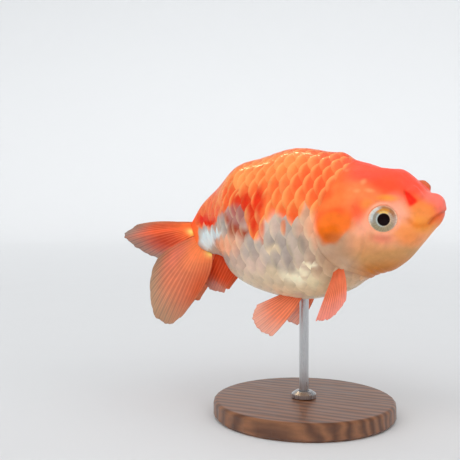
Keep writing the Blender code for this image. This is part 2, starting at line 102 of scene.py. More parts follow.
# How far from the eye's middle the skin closes on it: at its sides, and how much nearer above and below.
EYE_SHOWS, EYE_LID, EYE_LOWER_LID = 4.42, 0.28, 0.4

# A nostril: the middle of its flap, and how far the flap stands out.
Nostril = namedtuple("Nostril", "x y z height")
NOSTRIL_SLANT = 50  # degrees below level, towards the mouth
NOSTRILS = {RIGHT: Nostril(45.9, 8.9, 14.4, 0.8), LEFT: Nostril(45.8, 6.6, 16.8, 2)}

# Each fin's key rays: a root, a tip, and how far the middle bows off the straight line.
TAIL_RIGHT_UPPER = [
    ((-34, -1.4, 4.2), (-53.4, -10.5, 4.1), (0, -1, 1.2)),
    ((-33.8, -1.8, 3.2), (-57, -13, 0.5), (0, -1.2, 1)),
    ((-33.6, -2.2, 2.2), (-50.8, -14.5, -4), (0, -1.2, 0.6)),
    ((-33, -2.4, 0.8), (-41.8, -14.8, -7.6), (0, -0.8, 0.3)),
]
TAIL_RIGHT_LOWER = [
    ((-32.8, -2.6, 0), (-41.3, -16.2, -7.8), (0, -1.6, 0.9)),
    ((-32.2, -2.8, -1.4), (-43.4, -17.6, -15), (-0.3, -1.4, 0.4)),
    ((-31.6, -2.8, -2.8), (-41.2, -19.6, -25.4), (-0.6, -1.8, 0.4)),
    ((-31, -2.8, -4), (-35.6, -20, -29.6), (0.8, -2, 0.2)),
    ((-29.4, -2.6, -5.4), (-31, -19.2, -27), (2.4, -1.6, 0.6)),
    ((-27, -2.4, -6.4), (-28.2, -18, -24.2), (3.2, -0.2, 1.2)),
]
TAIL_LEFT_UPPER = [
    ((-34.2, 0.4, 4.8), (-55, 5, 4.6), (0, 1, 0.4)),
    ((-34, 0.8, 3.8), (-58, 7.5, 1.4), (0, 1.2, 0.6)),
    ((-33.6, 1, 2.4), (-54, 9.5, -3), (0, 1.2, 0.6)),
    ((-33, 1.2, 0.8), (-45.8, 10, -6.6), (0, 0.8, 0.2)),
]
TAIL_LEFT_LOWER = [
    ((-32.8, 1.4, 0), (-45.8, 10.6, -7.8), (0, 0.8, 0.1)),
    ((-32.2, 1.6, -1.4), (-47.4, 13.5, -14.6), (0, 1.4, 0.4)),
    ((-31.6, 1.6, -2.8), (-45.6, 15, -22.2), (-0.6, 1.8, 0.4)),
    ((-31, 1.6, -4), (-41, 15, -25.8), (0, 2, 0.2)),
    ((-29.4, 1.6, -5.4), (-37.2, 12.6, -22.4), (0.8, 1.6, 0.2)),
    ((-27, 1.8, -6.4), (-34, 9.8, -17), (1.8, 0.8, 0.6)),
]
PECTORAL_RIGHT = [
    ((24.1, -15, -6.8), (26.6, -18.6, -18.5), (0.9, -0.2, 0)),
    ((23.8, -15.1, -6.9), (25, -18.8, -21.2), (0.6, -0.2, 0)),
    ((23.5, -15.2, -7), (21.8, -18.2, -24.2), (0.4, -0.2, 0)),
    ((23.2, -15.2, -7.1), (18.8, -17, -25.4), (0.2, -0.1, 0)),
    ((22.9, -15.2, -7.2), (16.3, -16, -25.8), (0, 0, 0)),
]
PECTORAL_LEFT = [
    ((24.6, 12.2, -8.6), (15, 29, -9), (1.8, 0.6, 1)),
    ((24, 12.2, -9.8), (11, 28.6, -12), (1.2, 0.6, 1)),
    ((23, 12, -10.8), (8.6, 26, -14.4), (0.6, 0.6, 0.6)),
    ((22, 11.8, -11.6), (9, 22.6, -15.6), (0.2, 0.6, 0.2)),
]
PELVIC_RIGHT = [
    ((9.8, -6.6, -17.6), (0.2, -12.6, -32.4), (0.6, -0.8, -0.6)),
    ((8.2, -6.6, -17.4), (-4.2, -13, -30.6), (0.2, -0.8, -0.4)),
    ((6.8, -6.4, -17.2), (-7, -12, -26.8), (0, -0.6, -0.2)),
    ((5.6, -6, -17), (-6.6, -9.8, -22.6), (0, -0.4, 0)),
]
ANAL_RIGHT = [
    ((-15.6, -2.3, -11.6), (-20.8, -4.8, -19.8), (-0.8, -0.4, 0)),
    ((-18.4, -2.3, -9), (-22.8, -5.2, -19.4), (-0.2, -0.4, 0)),
    ((-21.6, -2, -7), (-26, -5.2, -18.8), (0, -0.3, 0)),
    ((-25.6, -1.7, -6.3), (-29, -4.6, -16.6), (0, 0, 0)),
]
ANAL_LEFT = [
    ((-15.6, 2.3, -11.6), (-23.4, 4.8, -19.6), (-0.4, 0.4, 0)),
    ((-18.4, 2.3, -9), (-25, 5.2, -19.4), (0, 0.4, 0)),
    ((-21, 2.1, -7.2), (-27.2, 5.2, -18), (0, 0.3, 0)),
    ((-25.4, 1.9, -6.3), (-29.8, 4.6, -16.2), (0, 0, 0)),
]

# --- how finely things are made ---

SKIN_AROUND = 400
SKIN_STEP_HEAD, SKIN_STEP_TRUNK = 0.19, 0.45  # between the skin's rings
COAT_DEPTH = 0.4  # how far inside the flesh the skin lies where scales cover it

# The rows of scales around the body, fewer towards the tail: how many, and the column where that ends.
COAT_ZONES = ((30, 20), (24, 22), (18, 24), (14, 27))
SCALE_PITCH_FRONT, SCALE_PITCH_TAIL = 3.9, 2.7  # between scales of one row
SCALE_RISE = 0.14  # a scale's height over the next one behind it, at the full pitch
SCALE_LENGTH = 1.6  # from root to tip, in pitches
SCALE_HALF_HEIGHT = 1.08  # in rows
SCALE_EDGE_ACROSS, SCALE_EDGE_ALONG = 1.25, 1.42  # the free edge's ellipse, in rows and pitches
SCALE_THICKNESS, SCALE_DOME = 0.1, 0.1
STEM_RELIEF = 0.3  # how much flatter the scales lie at the end of the tail stem
SCALE_GRID = 17
# The coat's pieces, by the share of the way round from the back over the right side.
COAT_PIECES = {"coat_right": (0, 0.33), "coat_belly": (0.33, 0.67), "coat_left": (0.67, 1)}
PATCH_SIZE = 0.003  # of a scale's own patch in the coat's unwrap

FIN_STEPS_EACH_RAY, FIN_ALONG = 12, 44
EYE_RINGS, EYE_AROUND = 90, 128
BOWL_RINGS, BOWL_AROUND = 24, 96

# The CAD's nodes that the skin stands for, and those of them that scales cover.
SCALED = ("trunk", "tail_stem")
FLESH = ("head", "lower_jaw", "gill_cover_left", "gill_cover_right", *SCALED)

# --- colours ---

COLOURS = {  # red, green, blue as seen, from 0 to 255
    "orange": (255, 98, 44), "coral": (255, 132, 76), "light_orange": (255, 150, 76),
    "gold_orange": (255, 158, 62), "edge_orange": (255, 172, 98), "deep_orange": (252, 84, 36),
    "deep_red": (228, 36, 4), "hood_red": (254, 84, 50), "hood_pink": (255, 86, 70),
    "ochre": (232, 108, 18), "amber": (248, 118, 38), "spot": (222, 110, 58), "peach": (252, 168, 126),
    # The last colour on the next line is a painted highlight, for small glints on the hood and nape.
    "rose": (255, 174, 144), "tan": (208, 150, 94), "rouge": (236, 138, 106), "painted_fleck": (255, 168, 108),
    # The second colour on the next line is painted shade, a darker ochre for the lower gill cover, where
    # shade falls.
    "chin": (198, 116, 38), "shaded_ochre": (188, 88, 28), "gill_tan": (172, 128, 90), "pearl": (206, 184, 168),
    "pearl_grey": (172, 155, 146), "shade_grey": (138, 126, 116), "cream": (244, 214, 174),
    # The last colour on the next line and the first on the line after it are painted highlights, for glints
    # on the belly's wet scales.
    "blue_white": (224, 250, 254), "pale": (232, 192, 172), "painted_glint": (255, 238, 204),
    "painted_glint_green": (248, 234, 194), "mauve": (178, 112, 104), "lens_red": (240, 38, 8),
    "brown_red": (166, 66, 38), "salmon": (226, 104, 66), "lip": (255, 122, 108),
    "nostril": (250, 46, 26), "flap": (196, 104, 66),
}


def linear(colour):
    """A colour as seen, turned into the linear light values that shaders use."""
    seen = np.asarray(colour, float) / 255
    return np.where(seen <= 0.04045, seen / 12.92, ((seen + 0.055) / 1.055) ** 2.4)


def palette(colours):
    return {name: linear(colour) for name, colour in colours.items()}


PAINT = palette(COLOURS)
IRIS = palette({
    "pupil": (20, 6, 6), "grey": (158, 150, 136), "olive": (160, 148, 114), "tan": (196, 168, 148),
    "ring_behind": (196, 210, 206), "ring": (214, 184, 150), "gold": (255, 204, 96),
    "amber": (222, 146, 52), "brown": (176, 112, 66), "blue_white": (220, 232, 230),
    "mauve": (198, 170, 166), "rim": (250, 216, 184),
})
RAY_LIGHT = (255, 186, 140)  # the fins' rays, lit through
WALNUT_DARK, WALNUT_LIGHT = (88, 52, 32), (136, 88, 56)
STEEL_DARK, STEEL_LIGHT = (0.48, 0.48, 0.49), (0.68, 0.68, 0.69)


# --- curves and fields ---

def ease(low, high, value):
    """0 up to low, 1 from high on, and a smooth change between them."""
    share = np.clip((value - low) / (high - low), 0, 1)
    return share * share * (3 - 2 * share)


def bell(distance, reach):
    return np.exp(-((distance / reach) ** 2))


def unit(vectors):
    return vectors / np.maximum(np.linalg.norm(vectors, axis=-1, keepdims=True), 1e-9)


def through(points, positions):
    """A Catmull-Rom curve through the points, read at positions from 0 to len(points) - 1."""
    points = np.asarray(points, float)
    first = 2 * points[0] - points[1]
    last = 2 * points[-1] - points[-2]
    padded = np.vstack([first, points, last])
    positions = np.asarray(positions, float)
    index = np.clip(positions.astype(int), 0, len(points) - 2)
    t = (positions - index)[..., None]
    a, b, c, d = (padded[index + k] for k in range(4))
    return 0.5 * (2 * b + (c - a) * t + (2 * a - 5 * b + 4 * c - d) * t**2 + (3 * b - a - 3 * c + d) * t**3)


def running(steps):
    """The running total of a row of steps, from 0."""
    return np.concatenate([[0], np.cumsum(steps)])


def line_distance(points, line, steps_each=4):
    """Distance to the curve through a line of points seen from the side, positive on its left."""
    line = through(line, np.linspace(0, len(line) - 1, (len(line) - 1) * steps_each + 1))
    flat = points[..., [0, 2]]
    best = np.full(flat.shape[:-1], np.inf)
    side = np.ones_like(best)
    for start, end in zip(line, line[1:]):
        run = end - start
        away = flat - start
        share = np.clip((away @ run) / (run @ run), 0, 1)
        off = away - share[..., None] * run
        distance = np.hypot(off[..., 0], off[..., 1])
        nearer = distance < best
        turned = run[0] * away[..., 1] - run[1] * away[..., 0]
        best = np.where(nearer, distance, best)
        side = np.where(nearer, np.where(turned >= 0, 1, -1), side)
    return best * side


def ripple(points, length, seed, waves=16):
    """Smooth noise of about that wavelength, mostly between -1 and 1, the same in every run."""
    rng = np.random.default_rng(seed)
    turns = unit(rng.normal(size=(waves, 3))) * rng.uniform(0.7, 1.5, (waves, 1)) * 2 * math.pi / length
    phases = rng.uniform(0, 2 * math.pi, waves)
    total = np.zeros(points.shape[:-1])
    for turn, phase in zip(turns, phases):
        total += np.sin(points @ turn + phase)
    return total / math.sqrt(waves)


# --- the body's surface ---

def signed_power(value, power):
    return np.sign(value) * np.abs(value) ** power


def swelled(points, rows):
    """How far the swellings lift each point."""
    lift = 0
    for x, y, z, reach_x, reach_yz, height in rows:
        across = np.hypot(np.abs(points[..., 1]) - y, points[..., 2] - z) / reach_yz
        along = (points[..., 0] - x) / reach_x
        lift = lift + height * np.exp(-(across**2) - along**2)
    return lift


def body_points(position, angle):
    """Points of the body's surface. Position runs from 0 at the tail joint to LAST_STATION at the
    snout, and angle turns from the back over the right side."""
    table = through(list(STATIONS.values()), position)
    top_x, top_z, low_x, low_z, half_width, waist, roof, keel = np.moveaxis(table, -1, 0)
    up, out = np.cos(angle), -np.sin(angle)
    power = 2 / np.where(up >= 0, roof, keel)
    height = np.where(up >= 0, 1 - waist, waist) * signed_power(up, power) + waist
    side = np.maximum(half_width, 0) * signed_power(out, power)
    points = np.stack([low_x + (top_x - low_x) * height, side, low_z + (top_z - low_z) * height], -1)
    outwards = np.stack([np.zeros_like(up), out, up], -1)
    points = points + outwards * swelled(points, SWELLS.values())[..., None]
    behind = np.maximum(TAIL_BEND_X - points[..., 0], 0)
    points[..., 1] -= behind**2 / (2 * TAIL_BEND_RADIUS)
    return points


class Unwrap:
    """Reads the body by distance: along it in pitches of the scales, and around it in shares."""

    POSITIONS, TURNS = 400, 721

    def __init__(self):
        self.positions = np.linspace(0, LAST_STATION, self.POSITIONS)
        angles = np.linspace(0, 2 * math.pi, self.TURNS)
        grid = body_points(*np.meshgrid(self.positions, angles, indexing="ij"))
        around = [running(steps) for steps in np.linalg.norm(np.diff(grid, axis=1), axis=-1)]
        even = np.linspace(0, 1, self.TURNS)
        self.angles = np.array([np.interp(even, row / row[-1], angles) for row in around])
        lengths = np.linalg.norm(np.diff(grid, axis=0), axis=-1)
        self.along = running(lengths.mean(axis=1))
        flank = self.TURNS // 4
        middle_x = (grid[1:, flank, 0] + grid[:-1, flank, 0]) / 2
        columns = running(lengths[:, flank] / scale_pitch(middle_x))
        self.columns = columns[-1] - columns

    def angle(self, position, share):
        """The angle that lies this share of the way around the body."""
        row = np.clip(position / LAST_STATION * (self.POSITIONS - 1), 0, self.POSITIONS - 1.001)
        column = np.mod(share, 1) * (self.TURNS - 1)
        i, j = row.astype(int), np.minimum(column.astype(int), self.TURNS - 2)
        u, v = row - i, column - j
        near = self.angles[i, j] * (1 - v) + self.angles[i, j + 1] * v
        far = self.angles[i + 1, j] * (1 - v) + self.angles[i + 1, j + 1] * v
        return near * (1 - u) + far * u

    def at_column(self, column):
        return np.interp(column, self.columns[::-1], self.positions[::-1])

    def along_share(self, position):
        return np.interp(position, self.positions, self.along) / self.along[-1]


def scale_pitch(x):
    return SCALE_PITCH_TAIL + (SCALE_PITCH_FRONT - SCALE_PITCH_TAIL) * ease(-32, -6, x)


UNWRAP = Unwrap()


def surface(position, share, lift=0, step=0.01):
    """Points of the body at a position and a share of the way around, and the way out of it there."""
    angle = UNWRAP.angle(position, share)
    points = body_points(position, angle)
    ahead = body_points(np.minimum(position + step, LAST_STATION), angle)
    before = body_points(np.maximum(position - step, 0), angle)
    turned = body_points(position, angle + step) - body_points(position, angle - step)
    normal = unit(np.cross(turned, ahead - before))
    tip = ease(LAST_STATION - 0.35, LAST_STATION, position)[..., None]
    normal = unit(normal * (1 - tip) + np.array((1, 0, 0)) * tip)
    return points + normal * np.asarray(lift)[..., None], normal


# --- the skin's folds ---

def folds(distance, *rows):
    """Soft folds beside a line: how far ahead of it each lies, how wide it is, and its height."""
    return sum(height * bell(distance - ahead, width) for ahead, width, height in rows)


def gill_folds(points):
    """The gill cover's rounded rear edge over the groove that it opens on, and the throat's folds."""
    z, ahead = points[..., 2], line_distance(points, GILL_LINE)
    lip = GILL_LIP * ease(0, 0.9, ahead) * np.exp(-np.maximum(ahead, 0) / 4)
    opens = 1 - ease(GILL_OPENS_BELOW_Z - 4, GILL_OPENS_BELOW_Z + 1, z)
    low = 1 - ease(-9, -5, z)
    return opens * (lip + folds(ahead, GILL_GROOVE)) + low * folds(ahead, *THROAT_FOLDS)


def cheek_groove(points):
    return folds(line_distance(points, CHEEK_LINE), *CHEEK_FOLDS)


def mouth(points):
    """The closed mouth's fine line under a soft lip, deeper beside the lips than at the snout."""
    side = 1 - ease(51, 53, points[..., 0])
    return folds(line_distance(points, MOUTH_LINE), (0, 0.3, -0.18 - 0.1 * side), (1, 0.7, 0.08 * side))


def nostril_frame(points, sign):
    """How far each point lies along, across and off a nostril, whose slit slants down and forwards."""
    place = NOSTRILS[sign]
    x, z = points[..., 0] - place.x, points[..., 2] - place.z
    slant = math.radians(NOSTRIL_SLANT)
    along = x * math.cos(slant) - z * math.sin(slant)
    across = x * math.sin(slant) + z * math.cos(slant)
    return along, across, sign * points[..., 1] - place.y


def nostril_slit(points, sign):
    """1 in the open slit behind and under a nostril's flap."""
    along, across, off = nostril_frame(points, sign)
    width = 1.05 + 0.28 * np.clip(along, -2.5, 2.5)
    middle = -2.15 - 0.12 * np.clip(along, -2.5, 2.5)
    return np.exp(-((along / 2.5) ** 6) - np.abs((across - middle) / width) ** 3 - (off / 4) ** 4)


def nostrils(points):
    """A soft flap on each side of the snout with an open slit under it."""
    lift = np.zeros(points.shape[:-1])
    for sign, place in NOSTRILS.items():
        along, across, off = nostril_frame(points, sign)
        lift += place.height * np.exp(-((along / 2.4) ** 4) - (across / 1.25) ** 4 - (off / 2.6) ** 4)
        lift -= 0.7 * nostril_slit(points, sign)
    return lift


def hood(points):
    """The soft bumps of the hood over the top of the head."""
    where = ease(20, 30, points[..., 0]) * ease(4, 13, points[..., 2])
    where = where * (1 - ease(46, 51, points[..., 0]))
    return where * (0.07 * ripple(points, 6, 3) + 0.025 * ripple(points, 2.6, 4))


def fin_bases(points):
    return swelled(points, FIN_BASES)


def coat_share(points):
    """1 where scales cover the body, 0 on the bare head."""
    return ease(0.6, -0.6, line_distance(points, GILL_LINE))


def skin_lift(points):
    features = gill_folds, cheek_groove, mouth, nostrils, hood, fin_bases
    return sum(feature(points) for feature in features) - COAT_DEPTH * coat_share(points)


def eye_axis(sign):
    turn = math.radians(EYE_TURN)
    return np.array((math.sin(turn), sign * math.cos(turn), 0))


def eye_middle(sign):
    return np.array((EYE_AT[0], sign * EYE_AT[1], EYE_AT[2]))


def eye_height(radius):
    """How high the eyeball stands over its middle plane."""
    return EYE_RADII[1] * np.sqrt(np.maximum(1 - (radius / EYE_RADII[0]) ** 2, 0))


def eye_plane(points, sign):
    """How far each point lies from an eye's axis and along it, and how much above and ahead of it."""
    axis = eye_axis(sign)
    away = points - eye_middle(sign)
    along = away @ axis
    flat = away - along[..., None] * axis
    radius = np.linalg.norm(flat, axis=-1)
    return radius, along, flat[..., 2] / np.maximum(radius, 1e-6), flat[..., 0] / np.maximum(radius, 1e-6)


def eye_opening(up):
    """How far from the eye's middle the skin closes on it, nearer under the upper lid."""
    return EYE_SHOWS - EYE_LID * ease(0, 1, up) - EYE_LOWER_LID * ease(0, 1, -up)


def seat_eyes(points):
    """Draws the skin in round each eye to a low rim with a fuller upper lid, and under the eyeball."""
    for sign in SIDES.values():
        radius, along, up, ahead = eye_plane(points, sign)
        shows = eye_opening(up)
        lid = 0.16 + 0.22 * ease(-0.2, 0.8, up + 0.4 * ahead)
        rim = eye_height(shows) + lid * bell(radius - shows - 0.45, 0.42)
        under = 1.2 * ease(shows, shows - 0.7, radius)
        near = (1 - ease(shows + 0.5, shows + 2.6, radius)) * (along > -3)
        points = points + ((rim - under - along) * near)[..., None] * eye_axis(sign)
    return points


# --- markings ---

# Where orange gives way to pearl on each side, seen from the side, from the tail to the cheek.
BORDERS = {
    RIGHT: [(-36, -16), (-31.8, -7), (-31.2, 1.2), (-29.6, 2.9), (-27, 3.5), (-24, 3.8), (-21.5, 5),
        (-18.5, 7.4), (-15.5, 10.2), (-12, 10.4), (-9, 8.6), (-7.4, 3.6), (-5.6, 0.8), (-2.4, 0.8),
        (-1.3, 4.6), (0.8, 7.4), (4, 8.3), (7, 7.2), (8.8, 5), (10.4, 5.4), (12.2, 8.8), (14.2, 10.9),
        (15.6, 8.8), (16, 6), (17.2, 3.4), (19, 1), (21.6, -0.5), (24.2, 0.2), (26.2, 2.2), (27.6, 4.4),
        (29, 7)],
    LEFT: [(-36, -16), (-32, -8), (-30, -3), (-26, -1), (-21, -3.5), (-16, -7.5), (-11, -6.5), (-8, 0),
        (-5.5, 6.5), (-2, 9.5), (2, 8), (4.5, 2), (8, -3.5), (13, -6), (17.5, -4), (21, -1), (25, 2),
        (30, 4)],
}

# Patches of colour seen from the side: the X and Z of the middle, the half sizes, the tilt in
# degrees, how soft the edge is, how strong the patch is, and its colour. Later ones cover earlier ones.
RIGHT_PATCHES = [
    (-10.2, 11.6, 3.8, 3.8, 0, 0.45, 0.9, "deep_red"),
    (-5.2, 7.6, 1.7, 5.6, 10, 0.4, 0.9, "deep_red"),
    (-2.8, 12, 1.6, 5.8, 4, 0.5, 0.9, "deep_red"),
    # A painted highlight: the next patch lightens the rear back high up, where a glint falls.
    (-10.4, 18.6, 3.6, 2.6, 20, 0.9, 0.3, "edge_orange"),
    (-19.4, 8.6, 3, 2, 30, 0.7, 0.5, "deep_red"),
    (-27, 5.7, 4.8, 2, -3, 0.3, 1, "lens_red"),
    (-12, 6.9, 4.4, 3.7, -8, 0.35, 0.95, "mauve"),
    (-12.4, 2.7, 2.4, 1.9, 0, 0.5, 1, "brown_red"),
    (-8.4, 1.5, 2.1, 2.2, 15, 0.5, 1, "brown_red"),
    (-16.2, 7, 1, 2.2, 35, 0.5, 0.85, "brown_red"),
    (-15.2, -2.1, 5.6, 3.6, 5, 0.6, 0.8, "peach"),
    (-19.5, -3.6, 4, 2, -20, 0.6, 0.7, "peach"),
    (-27.2, -1.2, 3.4, 3.6, -20, 0.35, 1, "blue_white"),
    (-21.6, 1.4, 4, 1.5, 20, 0.45, 0.95, "blue_white"),
    (-26.8, 3.3, 4, 0.5, -3, 0.7, 0.8, "rose"),
    (-1.9, 3.6, 1.2, 4.6, 10, 0.4, 0.95, "salmon"),
    (6.3, 4.2, 0.8, 1.3, 0, 0.35, 0.95, "spot"),
    (3, 4.8, 3, 3, 0, 0.6, 0.5, "pale"),
    (13.4, 6, 2.2, 5.4, 0, 0.6, 0.4, "peach"),
    (16.4, 3.6, 1.6, 5.2, 8, 0.7, 0.7, "peach"),
    # Cream and pale patches low on the flank and belly, here and below, are partly the belly's own colour
    # and partly painted highlights where its scales catch the light.
    (2.6, -2.9, 2.3, 1.5, -6, 0.5, 0.8, "cream"),
    (-10, -8.2, 4.4, 3.4, -30, 0.7, 0.7, "pale"),
    (-3.4, -8.4, 3, 3, 0, 0.7, 0.6, "pale"),
    (1.5, -11.2, 3.6, 2, 0, 0.7, 0.6, "cream"),
    # Painted shade: dark grey crescents between the pearly flank's scales.
    (12.2, -1.2, 0.9, 3.2, 25, 0.6, 0.7, "shade_grey"),
    (8.4, -3.4, 0.9, 3.6, 25, 0.6, 0.7, "shade_grey"),
    (3.6, -7.8, 1, 2.8, 30, 0.6, 0.6, "shade_grey"),
    (8.6, -9.2, 1, 2.8, 30, 0.6, 0.5, "shade_grey"),
    (22.8, 4.8, 4.6, 3.6, 20, 0.4, 0.9, "amber"),
    (21.4, 2.2, 3.2, 2.6, 0, 0.5, 0.9, "ochre"),
    # Painted shade: the next two patches darken the lower gill cover, where shade falls; the tan one is
    # partly its own colour.
    (22, 0.7, 2.6, 1.5, 0, 0.8, 0.7, "shaded_ochre"),
    (26.6, -2.2, 4, 3.2, 0, 0.8, 0.6, "gill_tan"),
    (12, -15.5, 9, 3.5, 10, 0.7, 0.5, "cream"),
    # Painted highlights: the next five patches are glints on the belly's wet scales, the last one at its
    # lower edge.
    (9.3, -12.4, 4.6, 1.9, -14, 0.5, 1, "painted_glint"),
    (14.8, -13.6, 2.6, 2.2, 0, 0.6, 0.45, "painted_glint_green"),
    (14.9, -8, 2.2, 1, -10, 0.5, 1, "painted_glint"),
    (11.9, -10, 1.8, 0.8, -10, 0.5, 0.9, "painted_glint"),
    (9.6, -19, 1.8, 0.6, -4, 0.6, 0.6, "pale"),
    (22, 12, 7, 2.2, 22, 0.8, 0.5, "light_orange"),
    (17, 18.5, 9, 4.2, 10, 0.9, 0.8, "deep_orange"),
    (-24.6, 9.6, 3.2, 2, 40, 0.9, 0.5, "orange"),
    (-6.6, -4.4, 4.6, 2.6, 0, 0.9, 0.35, "pearl_grey"),
    (21.2, -8, 2.6, 3, 0, 0.9, 0.5, "gill_tan"),
    # Painted highlights: small light flecks on the nape, where its wet skin catches the light.
    (21.4, 20, 1.6, 0.5, 60, 0.9, 0.5, "painted_fleck"),
    (25, 22.4, 0.8, 0.6, 0, 0.8, 0.5, "painted_fleck"),
]
LEFT_PATCHES = [
    (-12, 12, 5, 4.4, 0, 0.5, 0.8, "deep_red"),
    (8, 9, 3.6, 5.4, 10, 0.5, 0.7, "deep_red"),
    (-25, 2, 3.6, 2.6, 0, 0.5, 0.7, "deep_red"),
    (-3, 3.4, 3.4, 4.4, 0, 0.5, 0.5, "blue_white"),
    (3.4, -7, 1.6, 2.6, 10, 0.4, 0.9, "salmon"),
    (-20, -7.6, 3.4, 2.4, -20, 0.6, 0.7, "peach"),
    (20.4, 4.6, 5.4, 6.4, 0, 0.5, 0.7, "ochre"),
    # Partly the belly's own cream and partly a painted highlight where its scales catch the light.
    (13, -14, 9, 4.5, 10, 0.7, 0.6, "cream"),
]
HEAD_PATCHES = [
    (47.8, 7.6, 5, 5.2, -30, 0.7, 0.9, "light_orange"),
    (47.4, 4.4, 3.4, 2.4, -20, 0.8, 0.8, "gold_orange"),
    (41.6, 8.2, 2.7, 5, 14, 0.7, 0.9, "rose"),
    (42.4, 3, 2.8, 3.2, 0, 0.8, 0.7, "light_orange"),
    (44.8, 0.8, 3, 2.6, -30, 0.8, 0.8, "light_orange"),
    (32, -1, 4, 4.2, 0, 0.8, 0.5, "tan"),
    (31, 4.4, 2.4, 3.2, 0, 0.8, 0.7, "rose"),
    (36.6, 0.6, 2.8, 1.4, 0, 0.8, 0.95, "rouge"),
    (25.6, 5.6, 3.2, 3.4, 25, 0.5, 0.9, "amber"),
    (29.6, 8.8, 1.8, 3, 0, 0.8, 0.7, "hood_red"),
    (38.4, 12.9, 2.6, 0.9, -4, 0.8, 0.8, "gold_orange"),
    (32.2, 11.2, 1.6, 1.2, 10, 0.9, 0.4, "gold_orange"),
    # Painted highlights: small light flecks on the hood, where its wet skin catches the light.
    (30.8, 18.1, 0.8, 0.7, 20, 1, 0.6, "painted_fleck"),
    (32.9, 15.3, 1.2, 0.5, -8, 1, 0.6, "painted_fleck"),
    (29.3, 15.2, 0.9, 0.5, 0, 1, 0.5, "painted_fleck"),
    (44.6, 17.4, 5, 2.4, -35, 0.8, 0.6, "hood_pink"),
    (50.6, 13.4, 3.4, 2.2, -25, 0.6, 0.8, "lip"),
    (53, 10.6, 1.8, 3.2, 0, 0.6, 0.75, "lip"),
    (51.4, 7, 2.4, 0.8, 45, 0.7, 0.6, "orange"),
]
PATCHES = {RIGHT: RIGHT_PATCHES, LEFT: LEFT_PATCHES}
PALE_FLAP = (46.2, 7.2, 17.4)  # the middle of the left nostril's flap, which is browner
CRESCENT = (47.4, 7.6, 3.2)  # the dark crescent on each cheek: the middle and radius of its arc


def mix(colour, other, share):
    share = np.asarray(share)[..., None]
    return colour * (1 - share) + other * share


def painted(colour, layers, palette=PAINT):
    """A colour under layers of paint, each given by its name and its share at every point."""
    for name, share in layers:
        colour = mix(colour, palette[name], share)
    return colour


def patch_layers(points, patches):
    """Each patch's colour, and how much of it every point gets."""
    for middle_x, middle_z, half_x, half_z, tilt, soft, strength, colour in patches:
        turn = math.radians(tilt)
        x, z = points[..., 0] - middle_x, points[..., 2] - middle_z
        along = (x * math.cos(turn) + z * math.sin(turn)) / half_x
        across = (z * math.cos(turn) - x * math.sin(turn)) / half_z
        yield colour, strength * (1 - ease(1 - soft, 1 + soft, np.hypot(along, across)))


def pearl_colour(points):
    """Pearly flank and belly, greyer in places, creamier below and browner towards the throat."""
    x, z = points[..., 0], points[..., 2]
    return painted(PAINT["pearl"], [
        ("pearl_grey", 0.5 + 0.5 * ripple(points, 9, 11)),
        ("cream", 0.7 * ease(-6, -17, z)),
        ("tan", 0.45 * ease(6, 20, x)),
    ])


def lid_share(points, sign):
    """1 on the pink lids round an eye, less behind and below it."""
    radius, along, up, ahead = eye_plane(points, sign)
    lid = bell(radius - eye_opening(up) - 0.5, 0.75) * (along > -3)
    return lid * (0.5 + 0.5 * ease(-0.7, 0.7, up + 0.6 * ahead))


def head_colour(points):
    """The head from its red hood down to its tan throat."""
    x, z = points[..., 0], points[..., 2]
    level = z - 0.15 * (x - EYE_AT[0] + 0.5)
    colour = painted(PAINT["chin"], [
        ("tan", ease(-10.5, -5, level)),
        ("peach", ease(-5, 0.5, level)),
        ("coral", ease(3, 9.5, level)),
        ("hood_red", ease(13, 18.5, z + 0.6 * (x - 34))),
        ("hood_pink", 0.6 * ease(17.5, 21, level)),
        *patch_layers(points, HEAD_PATCHES),
    ])
    crescent_x, crescent_z, crescent_radius = CRESCENT
    crescent = bell(np.hypot(x - crescent_x, z - crescent_z) - crescent_radius, 0.9)
    colour = mix(colour, PAINT["ochre"], 0.5 * crescent * ease(0, -1.5, z - crescent_z))
    for sign in SIDES.values():
        colour = painted(colour, [
            ("rose", 0.85 * lid_share(points, sign)),
            ("nostril", ease(0, 0.9, nostril_slit(points, sign))),
        ])
    far = np.linalg.norm(points - np.array(PALE_FLAP), axis=-1)
    return painted(colour, [
        # Painted shade: a darker line along the closed mouth's crease.
        ("brown_red", 0.45 * bell(line_distance(points, MOUTH_LINE), 0.45)),
        ("flap", 0.9 * (1 - ease(3, 4.6, far))),
    ])


def back_colour(points):
    """The orange back: paler high on the flanks of its rear half, a painted highlight where the light from
    above falls, with lighter and deeper streaks across it.
    """
    x, y, z = np.moveaxis(points, -1, 0)
    streak = ripple(points * (1, 0.3, 0.3), 5, 41)
    sheen_band = ease(15, 22, z) * ease(3, 8, np.abs(y)) * (1 - 0.9 * ease(5, 14, x))
    return painted(PAINT["orange"], [
        ("light_orange", 0.2 + 0.2 * ripple(points, 13, 31)),
        ("edge_orange", 0.3 * ease(0.2, 1.4, streak)),
        ("deep_orange", 0.35 * ease(0.2, 1.4, -streak)),
        # Painted highlight: paler orange high on the rear back's flanks, where the light from above falls.
        ("light_orange", 0.55 * sheen_band),
    ])


def side_colour(points, sign):
    """One side of the body, and how far each point is pearl instead of orange."""
    x, z = points[..., 0], points[..., 2]
    drift = ripple(points, 6, 21), ripple(points, 6, 22)
    warped = points + 0.5 * np.stack([drift[0], np.zeros_like(x), drift[1]], -1)
    above = line_distance(warped, BORDERS[sign])
    orange = ease(-0.5, 0.6, above)
    outline = bell(above - 0.1, 0.65) * ease(-6, -3, x) * (1 - ease(17.5, 20, x))
    head = ease(24, 31, x + 0.12 * z)
    colour = painted(mix(pearl_colour(points), back_colour(points), orange), [
        ("rose", 0.65 * outline),
        *patch_layers(warped, PATCHES[sign]),
        ("hood_red", 0.75 * ease(21, 26, z) * ease(8, 22, x)),
    ])
    return mix(colour, head_colour(points), head), 1 - np.maximum(orange, head)


